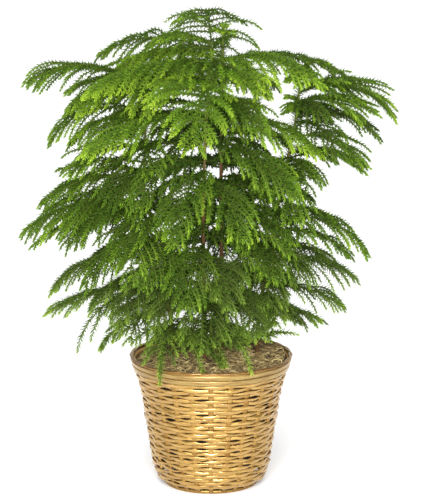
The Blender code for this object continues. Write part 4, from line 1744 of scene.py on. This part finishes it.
# Their growths also paint shade on fronds inside and behind the plant, and light on fronds at its front
# and top.
# The lesser fronds of each tree. Each whorl's place in its list sets its name and its random draws.
LESSER_A = (
    Whorl(0.212, (-50,), 0.140, 22, -76, 0.026, FRESH, TAIL),
    Whorl(0.222, (-12, -30), 0.080, 20, -45, 0.030, FRESH, WEEPING),
    Whorl(0.232, (-66, -92, -155), 0.090, 12, -55, 0.040, DEEP, WEEPING),
    Whorl(0.250, (-60, 10), 0.100, 5, -50, 0.040, DEEP, WEEPING),
    Whorl(0.272, (100, 60, 20), 0.105, 10, -50, 0.056, DEEP, WEEPING),
    Whorl(0.300, (150, 205, 75), 0.100, 8, -55, 0.056, DEEP, WEEPING),
    Whorl(0.285, (-130, -45, -5, 170), 0.130, 5, -60, 0.058, SHADED, WEEPING),
    Whorl(0.318, (-70, -160), 0.145, 8, -60, 0.060),
    Whorl(0.350, (-130, -30, 20, 150), 0.140, 5, -60, 0.060, SHADED, WEEPING),
    Whorl(0.388, (-150, -35, 170), 0.140, 8, -60, 0.062),
    Whorl(0.410, (10, 60, 120), 0.130, 10, -50, 0.060, DEEP, WEEPING),
    Whorl(0.445, (-140, -5, 165), 0.140, 8, -55, 0.064),
    Whorl(0.470, (45, 100, 150), 0.130, 12, -50, 0.064, DEEP),
    Whorl(0.520, (-60, 170), 0.140, 14, -45, 0.065, GREEN),
    Whorl(0.556, (-65, -125, 110), 0.120, 20, -40, 0.060, FRESH, FLAT),
    Whorl(0.572, (-34,), 0.060, 8, -46, 0.040, FRESH, WEEPING),
    Whorl(0.578, (-24,), 0.116, 6, -66, 0.034, FRESH, WEEPING),
    Whorl(0.562, (187,), 0.190, 18, -42, 0.055, FRESH, WEEPING),
    Whorl(0.580, (-75, 130), 0.090, 12, -45, 0.050, GREEN),
    Whorl(0.604, (174, 196), 0.095, 26, -42, 0.030, GREEN),
    Whorl(0.620, (158,), 0.078, 40, -50, 0.020, GREEN),
    Whorl(0.626, (150,), 0.095, 22, -40, 0.012, GREEN, TAIL),
    Whorl(0.560, (-12, 18), 0.070, 10, -42, 0.046, GREEN, WEEPING),
)
LESSER_B = (
    Whorl(0.222, (60, 150, 110), 0.110, 15, -40, 0.030, GREEN, TAIL),
    Whorl(0.255, (30, 100, 170, -10), 0.120, 0, -50, 0.055, DEEP, WEEPING),
    Whorl(0.320, (10, 80, 165), 0.140, 8, -50, 0.060, DEEP),
    Whorl(0.365, (50, 90, 120, -30), 0.140, 10, -45, 0.062, DEEP),
    Whorl(0.285, (0, 60, 130), 0.105, 8, -50, 0.058, DEEP, WEEPING),
    Whorl(0.340, (30, 85, 140), 0.105, 10, -50, 0.060, DEEP, WEEPING),
    Whorl(0.352, (165, 195, -60), 0.052, 10, -45, 0.036, DEEP),
    Whorl(0.376, (215, 250), 0.085, 12, -45, 0.050, DEEP),
    Whorl(0.430, (60, 130), 0.110, 10, -50, 0.060, DEEP, WEEPING),
    Whorl(0.466, (200, 160), 0.052, 10, -45, 0.034, DEEP),
    Whorl(0.476, (150, 210), 0.090, 5, -45, 0.050, DEEP, WEEPING),
    Whorl(0.490, (80, 140), 0.110, 10, -45, 0.060, DEEP),
    Whorl(0.556, (12, -32), 0.080, 8, -50, 0.045, DEEP, WEEPING),
    Whorl(0.430, (20, 75, 130, 180), 0.140, 12, -45, 0.064, DEEP),
    Whorl(0.470, (45, 110), 0.150, 15, -45, 0.064, DEEP),
    Whorl(0.505, (95, 200, -62), 0.110, 12, -40, 0.060, DEEP, WEEPING),
    Whorl(0.535, (115, 165), 0.150, 18, -42, 0.066, GREEN),
    Whorl(0.568, (160, 182), 0.175, 18, -42, 0.060, GREEN, WEEPING),
    Whorl(0.600, (100,), 0.044, 15, -50, 0.028, GREEN, WEEPING),
    Whorl(0.610, (-10, 80, 170, -95, 35), 0.024, 35, -25, 0.010, FRESH, TAIL),
    Whorl(0.412, (0, -38), 0.100, 8, -50, 0.056, DEEP, WEEPING),
    Whorl(0.580, (172,), 0.174, 12, -38, 0.048, FRESH, WEEPING),
    Whorl(0.574, (179,), 0.182, 10, -30, 0.032, GREEN, WEEPING),
)
LESSER_C = (
    Whorl(0.212, (-79, -92, -32), 0.128, 24, -78, 0.026, FRESH, TAIL),
    Whorl(0.250, (100, 150, 238, 30), 0.110, 5, -50, 0.050, GREEN, WEEPING),
    Whorl(0.214, (192,), 0.068, 4, -45, 0.014, GREEN, TAIL),
    Whorl(0.268, (184, 200), 0.156, 10, -80, 0.026, GREEN, TAIL),
    Whorl(0.290, (-130, 210), 0.125, 5, -60, 0.056, SHADED, WEEPING),
    Whorl(0.335, (-80, 150, 218), 0.118, 4, -62, 0.060, SHADED, WEEPING),
    Whorl(0.360, (-115, 100), 0.135, 8, -55, 0.060),
    Whorl(0.385, (160, 205, -160), 0.145, 10, -62, 0.064, SHADED, WEEPING),
    Whorl(0.400, (-75, 210, 130), 0.125, 10, -55, 0.060),
    Whorl(0.396, (179, 190), 0.165, 6, -36, 0.048, GREEN, WEEPING),
    Whorl(0.430, (-110, 168), 0.125, 15, -55, 0.062, SHADED, WEEPING),
    Whorl(0.440, (184,), 0.142, 5, -24, 0.044, GREEN, WEEPING),
    Whorl(0.465, (-90, 195, 140), 0.115, 12, -52, 0.060, GREEN),
    Whorl(0.500, (-135, 100, 184), 0.120, 12, -56, 0.060, GREEN, WEEPING),
    Whorl(0.530, (-90, 160, 200), 0.110, 20, -50, 0.055, FRESH),
    Whorl(0.536, (178, 190), 0.117, 12, -45, 0.052, GREEN, WEEPING),
    Whorl(0.550, (-60, 120, 60), 0.070, 35, -30, 0.040, GREEN),
    Whorl(0.374, (40, 140), 0.105, 8, -50, 0.058, DEEP, WEEPING),
    Whorl(0.556, (182,), 0.124, 6, -34, 0.045, SHADED, WEEPING),
    Whorl(0.372, (183,), 0.174, 4, -46, 0.052, GREEN, WEEPING),
    Whorl(0.206, (-40, -47), 0.098, 8, -48, 0.020, GREEN, TAIL),
)
LESSER_D = (
    Whorl(0.203, (-60, -125, -5, 70), 0.062, 24, -18, 0.022, FRESH, TAIL),
    Whorl(0.240, (50, -95), 0.080, 8, -40, 0.038, GREEN, WEEPING),
    Whorl(0.262, (-70,), 0.095, 8, -48, 0.045, GREEN, WEEPING),
    Whorl(0.285, (-90, 60, 150, 205), 0.110, 8, -55, 0.055, SHADED, WEEPING),
    Whorl(0.325, (-55, 35, -120), 0.120, 10, -52, 0.058, SHADED, WEEPING),
    Whorl(0.345, (-10, -85), 0.132, 8, -52, 0.060, SHADED, WEEPING),
    Whorl(0.372, (-60, 35, -110), 0.110, 12, -55, 0.058),
    Whorl(0.438, (-65, -10), 0.040, 8, -60, 0.034, GREEN, WEEPING),
    Whorl(0.524, (175, 215), 0.022, 30, -20, 0.012, GREEN),
    Whorl(0.548, (185, 150), 0.022, 30, -20, 0.012, GREEN),
    Whorl(0.394, (180, 140), 0.095, 8, -50, 0.056, DEEP, WEEPING),
    Whorl(0.415, (-80, 90), 0.110, 12, -52, 0.058, GREEN),
    Whorl(0.445, (-56, 60, -130), 0.079, 4, -80, 0.046, GREEN, WEEPING),
    Whorl(0.500, (20, -70, 70), 0.116, 16, -52, 0.056, DEEP),
    Whorl(0.526, (6,), 0.124, 12, -34, 0.050, GREEN, SWEEPING),
    Whorl(0.530, (-25, 35), 0.108, 24, -58, 0.062, GREEN, SWEEPING),
    Whorl(0.548, (-70, 90), 0.080, 30, -30, 0.045, GREEN),
    Whorl(0.512, (58, -76), 0.086, 18, -42, 0.036, DEEP, WEEPING),
    Whorl(0.516, (-80, 150, 215), 0.018, 24, -50, 0.022, GREEN, WEEPING),
    Whorl(0.545, (10, -30), 0.070, 14, -40, 0.034, SHADED, WEEPING),
    Whorl(0.560, (5,), 0.082, 46, -120, 0.008, GREEN, TAIL),
    Whorl(0.560, (-8,), 0.068, 46, -120, 0.008, GREEN, TAIL),
    Whorl(0.456, (-20, 22), 0.094, 6, -38, 0.040, SHADED, WEEPING),
)


def seedlings(models: ShootModels) -> list[Seedling]:
    """Lays out the four trees, with the lesser fronds that fill them out.

    Args:
        models: The shoots that their fronds copy.

    Returns:
        The tree in front, the one behind it, and the ones that lean left and right.
    """
    # The growths paint shade on the tree behind and on inner fronds, and light on fresh fronds at the
    # front and top.
    return [
        Seedling(
            "a",
            models,
            growths={FRESH: (6, 7, 8, 9, 10)},
            habits={WEEPING: (2, 6, 7, 9, 10), FLAT: (8,), DOMED: (11,), TAIL: (1,)},
            breadths={7: 0.92, 10: 0.95, 11: 0.76},
            lowered={7: (0.027, 0.032), 9: (0.0, 0.0), 11: (0.0, 0.002)},
            lesser=LESSER_A,
        ),
        Seedling(
            "b",
            models,
            growths={DEEP: (1, 2, 3, 4)},
            habits={WEEPING: (1, 2, 3, 8)},
            breadths={7: 0.74, 8: 0.82},
            lowered={7: (0.003, 0.018), 8: (0.009, -0.003)},
            lesser=LESSER_B,
        ),
        Seedling(
            "c",
            models,
            habits={WEEPING: (2, 4, 5, 6, 7, 8, 9), TAIL: (1,)},
            breadths={2: 0.74, 6: 1.35, 9: 1.55},
            lowered={
                1: (0, 0), 2: (0, 0.006), 3: (0, -0.002), 4: (-0.003, -0.013),
                6: (-0.007, -0.016), 8: (0.004, 0.018), 9: (0.002, -0.005),
            },
            drawn_in={2: 0.85, 3: 0.93, 6: 0.95, 8: 0.92, 9: 0.92},
            lesser=LESSER_C,
        ),
        Seedling(
            "d",
            models,
            habits={WEEPING: (1, 2, 3, 4), SWEEPING: (5, 6, 7)},
            breadths={4: 0.74, 5: 0.92},
            lowered={
                1: (0, -0.006), 2: (0, 0), 3: (0, 0), 5: (0, 0.010),
                6: (0.024, 0.046), 7: (0.007, 0.028),
            },
            drawn_in={2: 0.96, 3: 0.95, 4: 0.97, 5: 0.92, 6: 0.70, 7: 0.91},
            lesser=LESSER_D,
        ),
    ]


# ---------------- studio


@dataclass(frozen=True)
class Lamp:
    """A soft light that shines on the middle of the plant."""

    name: str
    kind: str
    place: tuple[float, float, float]
    power: float
    settings: tuple[tuple[str, object], ...]  # its other properties, such as its size

    def build(self) -> None:
        """Sets the lamp up and turns it to the plant."""
        data = bpy.data.lights.new(self.name, self.kind)
        data.energy = self.power
        for name, value in self.settings:
            setattr(data, name, value)
        Studio.stand(self.name, data, self.place, (0.0, 0.0, 0.3))


@dataclass
class Studio:
    """White floor, soft lights and the camera in front of the plant."""

    camera_place: tuple[float, float, float] = (0.002, -4.0, 1.209)
    aim: tuple[float, float, float] = (0.002, 0.0, 0.3215)
    lens: float = 220.3
    far_end: float = 60.0
    floor_radius: float = 20.0
    horizon: tuple = (0.18, 0.18, 0.18)  # the sky from the ground to a little above
    # A sun from above the camera, a weak one behind and a low front light.
    lamps: tuple[Lamp, ...] = (
        Lamp("key", "SUN", (-0.12, -1.0, 2.3), 1.4, (("angle", math.radians(50.0)),)),
        Lamp("fill", "SUN", (0.5, 1.9, 1.3), 0.6, (("angle", math.radians(60.0)),)),
        Lamp(
            "front",
            "AREA",
            (-0.12, -2.4, 0.95),
            130.0,
            (("shape", "RECTANGLE"), ("size", 1.7), ("size_y", 0.45)),
        ),
    )

    def build(self) -> None:
        """Builds floor, sky, lights and camera."""
        self.build_floor()
        self.build_sky()
        for lamp in self.lamps:
            lamp.build()
        self.build_camera()

    def build_floor(self) -> None:
        """Lays a large disc under the basket."""
        deselect_all()
        bpy.ops.mesh.primitive_circle_add(vertices=96, radius=self.floor_radius, fill_type="NGON")
        floor = bpy.context.object
        floor.name = floor.data.name = "floor"
        floor.data.materials.append(StudioFloor().material())

    def build_sky(self) -> None:
        """Grades the sky from grey at the horizon to white overhead."""
        world = bpy.data.worlds.new("studio")
        world.use_nodes = True
        nodes = Nodes(world.node_tree)
        place = nodes.add("ShaderNodeTexCoord").outputs["Generated"]
        height = nodes.add("ShaderNodeSeparateXYZ", {0: place}).outputs[2]
        glow = nodes.ramp(height, (0.0, self.horizon), (0.35, self.horizon), (0.9, WHITE))
        nodes.feed(world.node_tree.nodes["Background"], {"Color": glow, "Strength": 1.0})
        bpy.context.scene.world = world

    @staticmethod
    def stand(name: str, data: bpy.types.ID, place: tuple, target: tuple) -> bpy.types.Object:
        """Stands a lamp or the camera in the studio.

        Args:
            name: The object's name.
            data: Its light or camera data.
            place: Where it stands.
            target: What it points at.

        Returns:
            The new object.
        """
        item = bpy.data.objects.new(name, data)
        item.location = place
        item.rotation_euler = (Vector(target) - item.location).to_track_quat("-Z", "Y").to_euler()
        bpy.context.scene.collection.objects.link(item)
        return item

    def build_camera(self) -> None:
        """Sets up a long lens at head height."""
        data = bpy.data.cameras.new("camera")
        data.lens = self.lens
        data.clip_end = self.far_end
        bpy.context.scene.camera = self.stand("camera", data, self.camera_place, self.aim)
        bpy.context.scene.view_settings.view_transform = "Standard"


# ---------------- all together


def main() -> None:
    """Builds the studio and dresses the plant."""
    logging.basicConfig(level=logging.INFO, format="%(name)s: %(message)s")
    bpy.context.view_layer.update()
    Studio().build()
    WovenBasket().build()
    Planting().build()
    for seedling in seedlings(ShootModels()):
        seedling.build()


if __name__ == "__main__":
    main()
